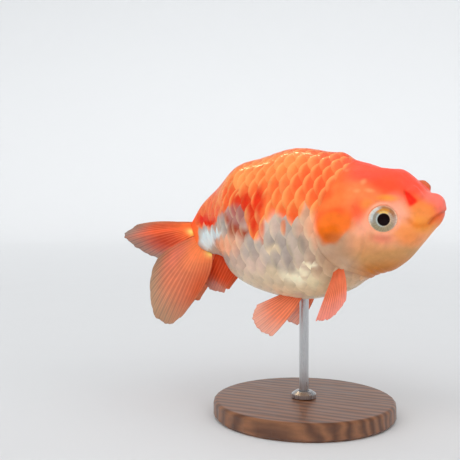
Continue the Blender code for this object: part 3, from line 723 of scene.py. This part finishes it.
def markings(points):
    """The colour at each point of the body, and its pearl share."""
    left = ease(-1.5, 1.5, points[..., 1])
    right_colour, right_pearl = side_colour(points, RIGHT)
    left_colour, left_pearl = side_colour(points, LEFT)
    return mix(right_colour, left_colour, left), right_pearl * (1 - left) + left_pearl * left


# --- meshes ---

def cells(grid):
    """The four corners of every cell of a grid of values, one row for each cell."""
    return np.stack([grid[:-1, :-1], grid[:-1, 1:], grid[1:, 1:], grid[1:, :-1]], -1).reshape(-1, 4)


def grid_faces(rows, columns, closed=False):
    """Quads over a grid of points, joined round its second direction if closed."""
    index = np.arange(rows * columns).reshape(rows, columns)
    return cells(np.hstack([index, index[:, :1]]) if closed else index)


def end_fans(rings, around):
    """Triangles that close the ends of a tube of rings about the two points that follow them."""
    k = np.arange(around)
    after = np.roll(k, -1)
    last, pole = (rings - 1) * around, np.full(around, rings * around)
    return [np.stack([after, k, pole], -1), np.stack([last + k, last + after, pole + 1], -1)]


def plate_faces(rows, columns):
    """Both sides and the rim of a grid of points that is given twice, upper then lower."""
    index = np.arange(rows * columns).reshape(rows, columns)
    rim = np.concatenate([index[0], index[1:, -1], index[-1, -2::-1], index[-2:0:-1, 0]])
    after = np.roll(rim, -1)
    upper, below = cells(index), rows * columns
    edge = np.stack([after, rim, rim + below, after + below], -1)
    return np.vstack([upper, upper[:, ::-1] + below, edge])


def new_mesh(name, points, faces, material):
    """A smooth mesh object in the scene, from points in metres and arrays of faces."""
    mesh = bpy.data.meshes.new(name)
    mesh.from_pydata(points.tolist(), [], [face for part in faces for face in part.tolist()])
    mesh.materials.append(material)
    mesh.shade_smooth()
    made = bpy.data.objects.new(name, mesh)
    bpy.context.scene.collection.objects.link(made)
    return made


def new_piece(name, points, faces, material, nodes):
    """A mesh piece in the fish's millimetres that rides on the model and stands for CAD nodes."""
    piece = new_mesh(name, (points + FISH_AT) * MM, faces, material)
    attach(piece, "root")
    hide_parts(*nodes)
    return piece


def paint(piece, name, values):
    """Stores a number or a colour for each point of a piece, for its material to read."""
    if values.ndim == 1:
        piece.data.attributes.new(name, "FLOAT", "POINT").data.foreach_set("value", values)
        return
    opaque = np.hstack([np.clip(values, 0, 1), np.ones((len(values), 1))])
    piece.data.attributes.new(name, "FLOAT_COLOR", "POINT").data.foreach_set("color", opaque.ravel())


def map_loops(piece, name, values):
    """A UV map from one pair of numbers for each corner of each face."""
    piece.data.uv_layers.new(name=name).data.foreach_set("uv", values.ravel())


# --- materials ---

def principled(name, **sockets):
    """A material whose shader has these values on its own sockets."""
    material = bpy.data.materials.new(name)
    material.use_nodes = True
    shader = material.node_tree.nodes["Principled BSDF"]
    for socket, value in sockets.items():
        shader.inputs[socket.replace("_", " ")].default_value = value
    return material, material.node_tree, shader


def node(tree, kind, settings=None, **inputs):
    """A node with its settings and inputs. An input given a socket is linked to it."""
    made = tree.nodes.new(kind)
    for setting, value in (settings or {}).items():
        setattr(made, setting, value)
    for socket, value in inputs.items():
        target = made.inputs[socket.replace("_", " ")]
        if isinstance(value, bpy.types.NodeSocket):
            tree.links.new(value, target)
        else:
            target.default_value = value
    return made


def link(tree, shader, **sockets):
    """Links a socket of another node to each of these sockets of the shader."""
    for socket, value in sockets.items():
        tree.links.new(value, shader.inputs[socket.replace("_", " ")])


def local(tree):
    return node(tree, "ShaderNodeTexCoord").outputs["Object"]


def stretched(tree, scale):
    return node(tree, "ShaderNodeMapping", Vector=local(tree), Scale=scale).outputs["Vector"]


def uv(tree, name):
    return node(tree, "ShaderNodeUVMap", {"uv_map": name}).outputs["UV"]


def noise(tree, vector, scale, detail=3):
    return node(tree, "ShaderNodeTexNoise", Vector=vector, Scale=scale, Detail=detail).outputs["Fac"]


def spread(tree, value, low, high):
    """A noise value spread over a range."""
    least, most = 0.3, 0.7
    return node(tree, "ShaderNodeMapRange", Value=value, From_Min=least, From_Max=most, To_Min=low,
                To_Max=high).outputs["Result"]


def attribute(tree, name, output="Fac"):
    return node(tree, "ShaderNodeAttribute", {"attribute_name": name}).outputs[output]


def shaded(tree, colour, strength):
    """The colour made a little lighter and darker by a number near 1."""
    return node(tree, "ShaderNodeHueSaturation", Color=colour, Value=strength).outputs["Color"]


def graded(tree, value, dark, light):
    """A colour between a dark and a light one."""
    ramp = node(tree, "ShaderNodeValToRGB", Fac=value)
    for element, colour in zip(ramp.color_ramp.elements, (dark, light)):
        element.color = (*colour, 1)
    return ramp.outputs["Color"]


def bump(tree, shader, height, distance, strength):
    made = node(tree, "ShaderNodeBump", Height=height, Distance=distance, Strength=strength)
    link(tree, shader, Normal=made.outputs["Normal"])


def living(name, roughness_low, roughness_high, wet, soft, depth):
    """Wet living tissue that takes its markings from the mesh, with fine mottling and pores."""
    material, tree, shader = principled(name, Coat_Weight=wet, Coat_Roughness=0.1, IOR=1.36,
                                        Specular_IOR_Level=0.12, Subsurface_Weight=soft,
                                        Subsurface_Scale=depth)
    place = local(tree)
    mottle = spread(tree, noise(tree, place, 420), 0.93, 1.07)
    link(tree, shader, Base_Color=shaded(tree, attribute(tree, "marking", "Color"), mottle),
         Roughness=spread(tree, noise(tree, place, 900), roughness_low, roughness_high))
    return material, tree, shader, place


def skin_material():
    material, tree, shader, place = living("skin_wet", 0.3, 0.46, 0.08, 0.15, 0.0012)
    bump(tree, shader, noise(tree, place, 1500, 4), 0.00012, 0.7)
    return material


def scale_material():
    material, tree, shader, _ = living("scales_wet", 0.24, 0.4, 0.3, 0.1, 0.001)
    rings = node(tree, "ShaderNodeTexWave", {"wave_type": "RINGS", "rings_direction": "Z"},
                 Vector=uv(tree, "scale_map"), Scale=1.4, Distortion=0.6, Detail=1)
    bump(tree, shader, rings.outputs["Fac"], 0.00003, 0.5)
    return material


def fin_material():
    material, tree, shader, place = living("fin_web", 0.28, 0.44, 0.1, 0.1, 0.0006)
    link(tree, shader, Alpha=attribute(tree, "veil"))
    bump(tree, shader, noise(tree, place, 1300), 0.00006, 0.6)
    return material


def eye_material():
    material, tree, shader = principled("eye_clear", Roughness=0.2, IOR=1.34, Specular_IOR_Level=0.2)
    place = uv(tree, "iris_map")
    streaks = spread(tree, noise(tree, place, 1, 4), 0.82, 1.18)
    link(tree, shader, Base_Color=shaded(tree, attribute(tree, "marking", "Color"), streaks),
         Metallic=attribute(tree, "metal"))
    bump(tree, shader, noise(tree, place, 1.6), 0.00003, 0.4)
    return material


def walnut_material():
    material, tree, shader = principled("walnut_satin", Coat_Weight=0.25, Coat_Roughness=0.25)
    place = stretched(tree, (14, 90, 90))
    grain = node(tree, "ShaderNodeTexWave", {"wave_type": "BANDS", "bands_direction": "Y"},
                 Vector=place, Scale=1, Distortion=7, Detail=3)
    pores = noise(tree, place, 9, 4)
    wood = graded(tree, grain.outputs["Fac"], linear(WALNUT_DARK), linear(WALNUT_LIGHT))
    link(tree, shader, Base_Color=shaded(tree, wood, spread(tree, pores, 0.8, 1.12)),
         Roughness=spread(tree, pores, 0.36, 0.52))
    bump(tree, shader, pores, 0.0001, 0.4)
    return material


def steel_material():
    material, tree, shader = principled("steel_brushed", Metallic=1)
    lines = noise(tree, stretched(tree, (2500, 2500, 120)), 1, 2)
    link(tree, shader, Base_Color=graded(tree, lines, STEEL_DARK, STEEL_LIGHT),
         Roughness=spread(tree, lines, 0.24, 0.4))
    bump(tree, shader, lines, 0.00004, 0.4)
    return material


# --- the skin ---

def ring_positions():
    """Positions of the skin's rings, closer together on the head."""
    x = body_points(UNWRAP.positions, np.full(UNWRAP.POSITIONS, math.pi / 2))[:, 0]
    step = SKIN_STEP_TRUNK + (SKIN_STEP_HEAD - SKIN_STEP_TRUNK) * ease(8, 15, x)
    lengths = np.diff(UNWRAP.along) / ((step[1:] + step[:-1]) / 2)
    counted = running(lengths)
    rings = int(counted[-1])
    return np.interp(np.arange(rings + 1) * counted[-1] / rings, counted, UNWRAP.positions)


def make_skin(material):
    """One closed skin from the tail joint to the snout, with the folds of the head."""
    positions = ring_positions()
    rings = len(positions)
    turns = np.arange(SKIN_AROUND + 1) / SKIN_AROUND
    position, share = np.meshgrid(positions, turns[:-1], indexing="ij")
    plain, _ = surface(position, share)
    grid, _ = surface(position, share, skin_lift(plain))
    grid = seat_eyes(grid)
    points = np.vstack([grid.reshape(-1, 3), grid[0].mean(axis=0), grid[-1].mean(axis=0)])
    faces = [grid_faces(rings, SKIN_AROUND, closed=True), *end_fans(rings, SKIN_AROUND)]
    skin = new_piece("skin", points, faces, material, FLESH)
    paint(skin, "marking", markings(points)[0])

    u, v = np.meshgrid(UNWRAP.along_share(positions), turns, indexing="ij")
    unwrap = [np.stack([cells(u), cells(v)], -1).reshape(-1, 2)]
    start, stop = turns[:-1], turns[1:]
    for end, corners in ((0, (stop, start)), (1, (start, stop))):
        fan = np.stack([*corners, (start + stop) / 2], -1).ravel()
        unwrap.append(np.stack([np.full_like(fan, end), fan], -1))
    map_loops(skin, "OFBake", np.vstack(unwrap))


# --- the coat of scales ---

def scale_places():
    """Share of the way round, share between rows, and tip column of every scale that shows."""
    places, first = [], 0
    for around, last in COAT_ZONES:
        rows, columns = np.meshgrid(np.arange(around), np.arange(first, last), indexing="ij")
        zone = (rows + 0.5) / around, np.full(rows.shape, 1 / around), columns + 0.5 * (rows % 2)
        places.append(np.stack(zone, -1).reshape(-1, 3))
        first = last
    middle, between, tips = np.vstack(places).T
    position = UNWRAP.at_column(tips)
    points, _ = surface(position, middle)
    kept = (line_distance(points, GILL_LINE) < -0.8) & (position > 0.16)
    return middle[kept], between[kept], tips[kept]


def free_edge(across):
    """How far the free edge lies ahead of the scale's tip, in pitches."""
    return SCALE_EDGE_ALONG * (1 - np.sqrt(1 - (across / SCALE_EDGE_ACROSS) ** 2))


def scale_tint(colour, pearl, relief, from_edge, down, chance):
    """A scale's own colour with painted light and shade: a light bar along its free edge, partly its paler
    margin and partly painted highlight, and a deeper colour where it comes out from under the scale ahead,
    partly its darker base and partly painted shade.

    On the orange back the bars run along the edge's upper half, on the pearly flank its lower half, the
    halves that the light from above catches.
    """
    upper, lower = 1 - ease(-0.3, 0.8, down), ease(-0.6, 0.4, down)
    half = upper * (1 - pearl) + lower * pearl
    # Painted light and shade: the bar lies on the half of the edge that the light from above catches, and
    # the deeper colour where the scale comes out from under the one ahead.
    bar = relief * (1 - ease(0.25, 1.8, from_edge)) * (0.15 + 0.85 * half)
    deep = relief * ease(1.6, 3.6, from_edge) * (0.5 + 0.5 * half)
    not_red = 0.2 + 0.8 * ease(0.035, 0.12, colour[..., 1])
    orange = [("edge_orange", 0.68 * bar * not_red), ("deep_orange", 0.35 * deep * not_red)]
    edged = mix(painted(colour, orange), mix(colour, PAINT["cream"], 0.3 * bar), pearl)
    # Painted shade on the pearly flank where a scale comes out from under the one ahead, with each scale's
    # own random tone.
    shade = 1 - 0.14 * pearl * deep + (0.03 + 0.02 * pearl) * chance
    return np.clip(edged * shade[..., None], 0, 1)


def each(values):
    """One value for each scale, shaped to go with the points of all the scales' grids."""
    return values[:, None, None]


def make_coat(material):
    """Overlapping scales, each a thin domed plate whose front is under the scale ahead."""
    rng = np.random.default_rng(5)
    middle, between, tips = scale_places()
    count = len(tips)
    tips = tips + rng.normal(0, 0.03, count)
    reach = each(SCALE_HALF_HEIGHT * (1 + rng.normal(0, 0.02, count)))
    lift = each(rng.normal(0, 0.012, count))

    along = 1 - (1 - np.linspace(0, 1, SCALE_GRID)) ** 1.5
    across = np.sin(np.linspace(-1, 1, SCALE_GRID) * math.pi / 2)
    t, b = np.meshgrid(along, across, indexing="ij")
    b = b * reach
    edge = each(tips) - free_edge(b)
    root = each(tips) - SCALE_LENGTH
    column = root + t * (edge - root)
    plain, normal = surface(UNWRAP.at_column(column), each(middle) + b * each(between))

    pitch = scale_pitch(plain[..., 0])
    size = pitch / SCALE_PITCH_FRONT
    from_edge = (edge - column) * pitch
    thinner = bell(from_edge, 0.22)
    dome = SCALE_DOME * (1 - (b / reach) ** 2) * np.sin(t * math.pi * 0.8)
    height = SCALE_RISE * (column - root) + dome + lift - 0.05 * thinner
    relief = STEM_RELIEF + (1 - STEM_RELIEF) * ease(-30, -14, plain[..., 0])
    top = size * relief * height - COAT_DEPTH + fin_bases(plain)
    low = top - size * (SCALE_THICKNESS - 0.04 * thinner)
    both = np.stack([plain + normal * top[..., None], plain + normal * low[..., None]], 1)

    shown = int(SCALE_GRID * 0.62)
    centre = plain[:, shown, SCALE_GRID // 2][:, None, None]
    colour, pearl = markings(plain * 0.7 + centre * 0.3)
    down = np.where(plain[..., 1] < 0, b, -b)
    colour = scale_tint(colour, pearl, relief, from_edge / size, down, rng.normal(0, 1, (count, 1, 1)))

    faces = plate_faces(SCALE_GRID, SCALE_GRID)
    points_each = 2 * SCALE_GRID * SCALE_GRID
    root_u = UNWRAP.along_share(UNWRAP.at_column(tips - SCALE_LENGTH))
    roots = np.stack([root_u, middle], -1)
    flat = np.stack([from_edge / 8, b / 2 + np.zeros_like(from_edge)], -1)
    for name, (first, last) in COAT_PIECES.items():
        chosen = np.flatnonzero((middle >= first) & (middle < last))
        piece_faces = (faces[None] + each(np.arange(len(chosen)) * points_each)).reshape(-1, 4)
        coat = new_piece(name, both[chosen].reshape(-1, 3), [piece_faces], material, SCALED)
        paint(coat, "marking", np.stack([colour[chosen]] * 2, 1).reshape(-1, 3))
        corners = piece_faces.ravel()
        own = np.stack([flat[chosen]] * 2, 1).reshape(-1, 2)[corners]
        patch = roots[chosen][corners // points_each] + PATCH_SIZE * (own - (0.5, 0)) * (1, 0.5)
        map_loops(coat, "OFBake", patch.clip(0, 1))
        map_loops(coat, "scale_map", own * 8)


# --- eyes ---

PUPIL_RADIUS, LENS_RISE = 1.93, 0.25
GAZE = (0, -0.18)  # how far the pupil lies forwards and up from the eyeball's middle


def eye_colour(radius, turn):
    """Black pupil in a pale ring, gold over amber above it, and a blue-white band behind and above."""
    up, ahead = np.sin(turn), np.cos(turn)
    behind = ease(0.5, -0.5, ahead)
    brow = ease(0.25, 0.8, up + 0.25 * ahead)
    upper_rear = ease(0.55, 0.95, np.cos(turn - math.radians(148)))
    colour = painted(IRIS["tan"], [
        ("grey", behind),
        ("olive", 0.8 * ease(0, -0.8, up)),
        ("mauve", 0.6 * ease(0.4, 0.9, ahead) * ease(3.2, 3.8, radius)),
        ("brown", 0.85 * brow * ease(2.6, 3.1, radius)),
        ("amber", ease(0.6, 0.95, up) * bell(radius - 2.95, 0.4)),
        ("blue_white", 0.8 * upper_rear * ease(3, 3.5, radius)),
        ("rim", 0.7 * bell(radius - 4.2, 0.28)),
    ], IRIS)
    beyond = radius - PUPIL_RADIUS
    colour = mix(colour, mix(IRIS["ring"], IRIS["ring_behind"], behind), 0.85 * bell(beyond - 0.18, 0.22))
    colour = mix(colour, IRIS["gold"], ease(0.7, 0.95, up) * bell(beyond - 0.35, 0.3))
    return mix(IRIS["pupil"], colour, ease(-0.1, 0.1, beyond))


def make_eye(side, sign, material):
    """A closed eyeball, a flattened ball with the lens's low dome in its pupil."""
    polar = np.linspace(0, math.pi, EYE_RINGS)[1:-1]
    spin = np.arange(EYE_AROUND) * 2 * math.pi / EYE_AROUND
    turn, around = np.meshgrid(polar, spin, indexing="ij")
    turn, around = np.append(turn, (0, math.pi)), np.append(around, (0, 0))
    radius = EYE_RADII[0] * np.sin(turn)
    forwards, up = radius * np.cos(around), radius * np.sin(around)
    drawn = 1 - ease(2.2, 4.6, radius)
    gaze_forwards, gaze_up = forwards - GAZE[0] * drawn, up - GAZE[1] * drawn
    seen, seen_turn = np.hypot(gaze_forwards, gaze_up), np.arctan2(gaze_up, gaze_forwards)
    front = np.cos(turn) > 0
    dome = LENS_RISE * np.sqrt(np.maximum(1 - (seen / (PUPIL_RADIUS + 0.25)) ** 2, 0))
    height = EYE_RADII[1] * np.cos(turn) + np.where(front, dome, 0)
    swing = math.radians(EYE_TURN)
    ahead = np.array((math.cos(swing), -sign * math.sin(swing), 0))
    points = eye_middle(sign) + forwards[:, None] * ahead + up[:, None] * (0, 0, 1)
    points = points + height[:, None] * eye_axis(sign)

    faces = [grid_faces(len(polar), EYE_AROUND, closed=True), *end_fans(len(polar), EYE_AROUND)]
    if sign == RIGHT:
        faces = [part[:, ::-1] for part in faces]
    eye = new_piece(f"eye_{side}_wet", points, faces, material, (f"eye_{side}",))
    seen = np.where(front, seen, EYE_RADII[0])
    paint(eye, "marking", eye_colour(seen, seen_turn))
    metal = ease(PUPIL_RADIUS, PUPIL_RADIUS + 0.3, seen) * (1 - ease(3.7, 4.2, seen))
    paint(eye, "metal", 0.25 * metal)
    streaks = np.stack([np.cos(seen_turn) * 9 + seen * 0.8, np.sin(seen_turn) * 9], -1)
    map_loops(eye, "iris_map", streaks[np.concatenate([part.ravel() for part in faces])])


# --- fins ---

# How a fin looks: how many rays it has, its colours at root, middle and margin, how solid its
# web is there, how much it waves, and how light its rays are.
FinLook = namedtuple("FinLook", "rays root middle margin web_root web_margin wave contrast")
FIN_LOOKS = {
    "tail_upper": FinLook(13, (255, 116, 52), (214, 80, 42), (122, 108, 102), 0.92, 0.74, 0.5, 0.22),
    "tail_lower": FinLook(18, (255, 136, 80), (206, 112, 78), (154, 126, 100), 0.92, 0.74, 0.6, 0.26),
    "pectoral": FinLook(12, (206, 84, 42), (236, 116, 78), (248, 140, 124), 0.92, 0.66, 0.2, 0.2),
    "pelvic": FinLook(10, (236, 112, 70), (240, 126, 88), (236, 160, 136), 0.9, 0.6, 0.2, 0.2),
    "anal": FinLook(9, (206, 66, 26), (214, 72, 32), (196, 120, 96), 0.96, 0.62, 0.1, 0.1),
    "anal_far": FinLook(9, (214, 72, 28), (234, 92, 40), (236, 106, 52), 0.96, 0.86, 0.1, 0.2),
    # The far lower lobe: the lower lobe's look made darker and redder at root and middle, partly its own
    # colour and partly painted shade, as it lies behind the near fins.
    "tail_far": FinLook(18, (232, 96, 50), (206, 86, 46), (190, 96, 56), 0.96, 0.84, 0.6, 0.16),
}

# Colour on a fin: where across and along it, how far that reaches, how strong, and its colour.
FIN_MARKS = {
    "tail_upper": [
        (0.78, 0.62, 0.26, 0.26, 0.75, (176, 52, 30)),
        (0, 0.55, 0.12, 0.5, 0.75, (196, 124, 88)),
        (0.46, 0.5, 0.07, 0.4, 0.5, (255, 106, 58)),
        # Painted highlights: a yellow-white glint at the lobe's root and its orange-yellow halo.
        (0.8, 0.06, 0.24, 0.07, 1, (255, 248, 140)),
        (0.96, 0.06, 0.12, 0.07, 0.8, (255, 178, 70)),
    ],
    "tail_lower": [
        (0.16, 0.42, 0.16, 0.22, 0.7, (252, 138, 112)),
        (0.88, 0.6, 0.24, 0.42, 0.85, (192, 76, 36)),
        # A painted highlight: a yellow glint at the lobe's root.
        (0.97, 0.03, 0.16, 0.07, 1, (255, 214, 118)),
    ],
}
FINS = {
    "tail_fin_upper_right": (TAIL_RIGHT_UPPER, "tail_upper"),
    "tail_fin_lower_right": (TAIL_RIGHT_LOWER, "tail_lower"),
    "tail_fin_upper_left": (TAIL_LEFT_UPPER, "tail_upper"),
    "tail_fin_lower_left": (TAIL_LEFT_LOWER, "tail_far"),
    "pectoral_fin_right": (PECTORAL_RIGHT, "pectoral"),
    "pectoral_fin_left": (PECTORAL_LEFT, "pectoral"),
    "pelvic_fin_right": (PELVIC_RIGHT, "pelvic"),
    "pelvic_fin_left": (np.array(PELVIC_RIGHT) * (1, -1, 1), "pelvic"),
    "anal_fin_right": (ANAL_RIGHT, "anal"),
    "anal_fin_left": (ANAL_LEFT, "anal_far"),
}


def fin_surface(rays, across, along):
    """The fin's middle surface: curves from root to tip, blended from one key ray to the next."""
    root, tip, bow = np.moveaxis(np.array(rays, float), 1, 0)
    keys = np.hstack([root, (root + tip) / 2 + bow, tip])
    blended = through(keys, across * (len(rays) - 1)).reshape(*across.shape, 3, 3)
    root, middle, tip = np.moveaxis(blended, -2, 0)
    s = along[..., None]
    return root * (1 - s) * (1 - 2 * s) + middle * 4 * s * (1 - s) + tip * s * (2 * s - 1)


def ray_share(across, along, rays):
    """1 on the fin's rays and 0 on the web. Each ray forks, and forks again near the margin."""
    total = np.zeros(across.shape)
    fork = 0.22 * ease(0.3, 1, along)
    twig = 0.1 * ease(0.62, 1, along)
    width = 0.17 - 0.09 * ease(0, 0.9, along)
    place = across * rays
    nearest = np.floor(place) + 0.5
    for side in (-1, 1):
        for small in (-1, 1):
            total = np.maximum(total, bell(place - nearest - side * fork - small * twig, width))
    return total


def fin_sides(rays, look, across, along, ray, phase):
    """The upper and the lower points of a fin, uneven at its margin and waved and pleated."""
    scallop = 0.006 * (1 - np.abs(np.sin(across * look.rays * math.pi)))
    uneven = 0.006 * (np.sin(across * 31 + phase[0]) + np.sin(across * 53 + phase[1]))
    reach = along * (1 - (scallop + uneven) * ease(0.6, 1, along))
    middle = fin_surface(rays, across, reach)
    normal = unit(np.cross(np.gradient(middle, axis=0), np.gradient(middle, axis=1)))
    wave = look.wave * ease(0.2, 1, along) * np.sin(across * 9 + phase[2])
    pleat = 0.018 * ease(0.3, 1, along) * np.sin(across * look.rays * 2 * math.pi)
    middle = middle + normal * (wave + pleat)[..., None]
    web = 0.08 + 0.36 * (1 - ease(0, 0.28, along))
    ridge = ray * (0.03 - 0.01 * along)
    half = ((web + ridge) * (1 - 0.6 * ease(0.94, 1, along)))[..., None]
    return np.vstack([(middle + normal * half).reshape(-1, 3), (middle - normal * half).reshape(-1, 3)])


def fin_tint(look, marks, across, along, ray, phase):
    """A fin's colours: from root to margin, with streaks, lighter rays and its own marks."""
    tint = mix(linear(look.root), linear(look.middle), ease(0.05, 0.45, along))
    tint = mix(tint, linear(look.margin), ease(0.55, 1, along) ** 0.8)
    streak = np.sin(across * 23 + phase[3]) * np.sin(across * 41 + phase[0] + 2 * along)
    tint = tint * (1 + 0.08 * streak - 0.04 * (1 - ray))[..., None]
    tint = mix(tint, linear(RAY_LIGHT), look.contrast * ray * ease(0.05, 0.3, along))
    for mark_across, mark_along, half_across, half_along, strength, colour in marks:
        share = bell(across - mark_across, half_across) * bell(along - mark_along, half_along)
        tint = mix(tint, linear(colour), strength * share)
    return tint.reshape(-1, 3)


def make_fin(name, rays, look, marks, seed, material):
    """A thin web over forking rays, thick at its fleshy root and a little uneven at its margin."""
    steps = look.rays * FIN_STEPS_EACH_RAY + 1
    across, along = np.meshgrid(np.linspace(0, 1, steps), np.linspace(0, 1, FIN_ALONG), indexing="ij")
    phase = np.random.default_rng(seed).uniform(0, 6, 4)
    ray = ray_share(across, along, look.rays)
    faces = plate_faces(steps, FIN_ALONG)
    points = fin_sides(rays, look, across, along, ray, phase)
    piece = new_piece(f"{name}_web", points, [faces], material, (name,))
    paint(piece, "marking", np.vstack([fin_tint(look, marks, across, along, ray, phase)] * 2))
    fade = ease(0.25, 1, along)
    web_veil = look.web_root + (look.web_margin - look.web_root) * fade
    veil = np.clip(web_veil + 0.3 * ray * (1 - 0.4 * fade) + (1 - ease(0.05, 0.22, along)), 0, 1)
    paint(piece, "veil", np.tile(veil.ravel(), 2))
    corners = faces.ravel()
    flat = corners % across.size
    u = 0.01 + 0.98 * along.ravel()[flat]
    v = 0.01 + 0.48 * across.ravel()[flat] + np.where(corners >= across.size, 0.5, 0)
    map_loops(piece, "OFBake", np.stack([u, v], -1))


# --- stage, light and camera ---

VIEW_TURN, VIEW_RISE, VIEW_DISTANCE = 20, 2, 248
VIEW_LENS, VIEW_SENSOR = 56, 36
AIM_LEFT, AIM_UP = 19.06, 2.43  # from the fish's origin to the picture's middle

# Soft light from a wide part of the sky: the direction it comes from, how wide, and how strong.
# The one from below stands for light off the floor, so it casts no shadow and the floor lets it by.
Sky = namedtuple("Sky", "x y z degrees strength")
SKIES = {
    "front": Sky(-0.35, -1.6, 1.25, 70, 1.62),
    "right": Sky(1.6, -0.8, 0.6, 60, 1.12),
    "overhead": Sky(0.1, -0.1, 1, 90, 1.2),
    "below": Sky(0.1, -1, -0.9, 60, 0.42),
}
# Small lamps over the fish for the glints on its wet back: where they are, their width, the power
# of each in watts and their colour.
GLINTS_AT = ((-340, 170, 500), (-230, 240, 490), (-150, 240, 500), (-90, 240, 500))
GLINT_WIDTH, GLINT_POWER, GLINT_COLOUR = 40, 0.16, (1, 0.74, 0.42)

BOWL_FLAT, BOWL_CURVE, BOWL_HEIGHT = 1400, 900, 960
FLOOR_COLOUR = (0.66, 0.67, 0.68, 1)
WORLD_COLOUR, WORLD_STRENGTH = (0.8, 0.82, 0.84, 1), 0.44


def aim(thing, place, target):
    thing.location = Vector(place) * MM
    thing.rotation_euler = (Vector(target) - Vector(place)).to_track_quat("-Z", "Y").to_euler()


def add(name, data):
    made = bpy.data.objects.new(name, data)
    bpy.context.scene.collection.objects.link(made)
    return made


def make_camera():
    turn, rise = math.radians(VIEW_TURN), math.radians(VIEW_RISE)
    back = np.array((math.sin(turn) * math.cos(rise), -math.cos(turn) * math.cos(rise), math.sin(rise)))
    right = np.array((math.cos(turn), math.sin(turn), 0))
    up = np.cross(right, -back)
    camera = add("camera", bpy.data.cameras.new("camera"))
    camera.data.lens, camera.data.sensor_width = VIEW_LENS, VIEW_SENSOR
    camera.data.clip_start = 10 * MM
    aim(camera, FISH_AT + back * VIEW_DISTANCE, FISH_AT - right * AIM_LEFT + up * AIM_UP)
    bpy.context.scene.camera = camera


def new_lamp(name, kind, strength):
    lamp = add(name, bpy.data.lights.new(name, kind))
    lamp.data.energy = strength
    return lamp


def make_lamps():
    for name, sky in SKIES.items():
        lamp = new_lamp(name, "SUN", sky.strength)
        lamp.data.angle = math.radians(sky.degrees)
        lamp.data.use_shadow = sky.z > 0
        lamp.visible_glossy = False
        aim(lamp, FISH_AT + 1000 * np.array((sky.x, sky.y, sky.z)), FISH_AT)
    for place in GLINTS_AT:
        glint = new_lamp("glint", "AREA", GLINT_POWER)
        glint.visible_diffuse = False
        glint.data.color = GLINT_COLOUR
        glint.data.size = GLINT_WIDTH * MM
        aim(glint, place, FISH_AT)


def make_stage():
    """A wide pale floor that rises smoothly into a pale wall all round, under an even sky."""
    rise = np.linspace(0, math.pi / 2, BOWL_RINGS)
    radii = np.append(BOWL_FLAT + BOWL_CURVE * np.sin(rise), BOWL_FLAT + BOWL_CURVE)
    heights = np.append(BOWL_CURVE * (1 - np.cos(rise)), BOWL_HEIGHT)
    turns = np.arange(BOWL_AROUND) * 2 * math.pi / BOWL_AROUND
    radius, turn = np.meshgrid(radii, turns, indexing="ij")
    height, _ = np.meshgrid(heights, turns, indexing="ij")
    points = np.stack([radius * np.cos(turn), radius * np.sin(turn), height], -1).reshape(-1, 3) * MM
    wall = grid_faces(len(radii), BOWL_AROUND, closed=True)[:, ::-1]
    material, tree, shader = principled("floor_pale", Base_Color=FLOOR_COLOUR)
    link(tree, shader, Roughness=spread(tree, noise(tree, local(tree), 30), 0.8, 0.95))
    floor = new_mesh("floor", points, [np.arange(BOWL_AROUND)[None], wall], material)
    world = bpy.data.worlds.new("studio")
    bpy.context.scene.world = world
    world.use_nodes = True
    sky = world.node_tree.nodes["Background"]
    sky.inputs["Color"].default_value = WORLD_COLOUR
    sky.inputs["Strength"].default_value = WORLD_STRENGTH
    bpy.context.scene.view_settings.view_transform = "Standard"


# --- everything ---

def middle_of(name):
    low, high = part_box(name)
    return (np.array(low) + np.array(high)) / 2 / MM


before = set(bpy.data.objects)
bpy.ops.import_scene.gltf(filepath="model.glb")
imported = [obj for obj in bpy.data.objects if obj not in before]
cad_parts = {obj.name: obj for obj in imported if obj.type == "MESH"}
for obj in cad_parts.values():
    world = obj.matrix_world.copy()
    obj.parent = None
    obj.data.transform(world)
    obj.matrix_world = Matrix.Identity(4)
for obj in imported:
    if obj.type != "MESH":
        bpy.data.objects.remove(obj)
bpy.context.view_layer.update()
# The fish's own origin, found from the frame's eyes.
FISH_AT = (middle_of("eye_left") + middle_of("eye_right")) / 2 - (EYE_AT[0], 0, EYE_AT[2])

make_skin(skin_material())
make_coat(scale_material())
wet_eye = eye_material()
for side_name, side_sign in SIDES.items():
    make_eye(side_name, side_sign, wet_eye)
web_material = fin_material()
for fin_seed, (fin_name, (fin_rays, fin_look)) in enumerate(FINS.items()):
    fin_marks = FIN_MARKS.get(fin_look, [])
    make_fin(fin_name, fin_rays, FIN_LOOKS[fin_look], fin_marks, fin_seed, web_material)

steel = steel_material()
stand = {"stand_base": walnut_material(), "stand_rod": steel, "stand_collar": steel}
for stand_node, stand_material in stand.items():
    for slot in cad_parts[stand_node].material_slots:
        slot.material = stand_material

make_camera()
make_lamps()
make_stage()
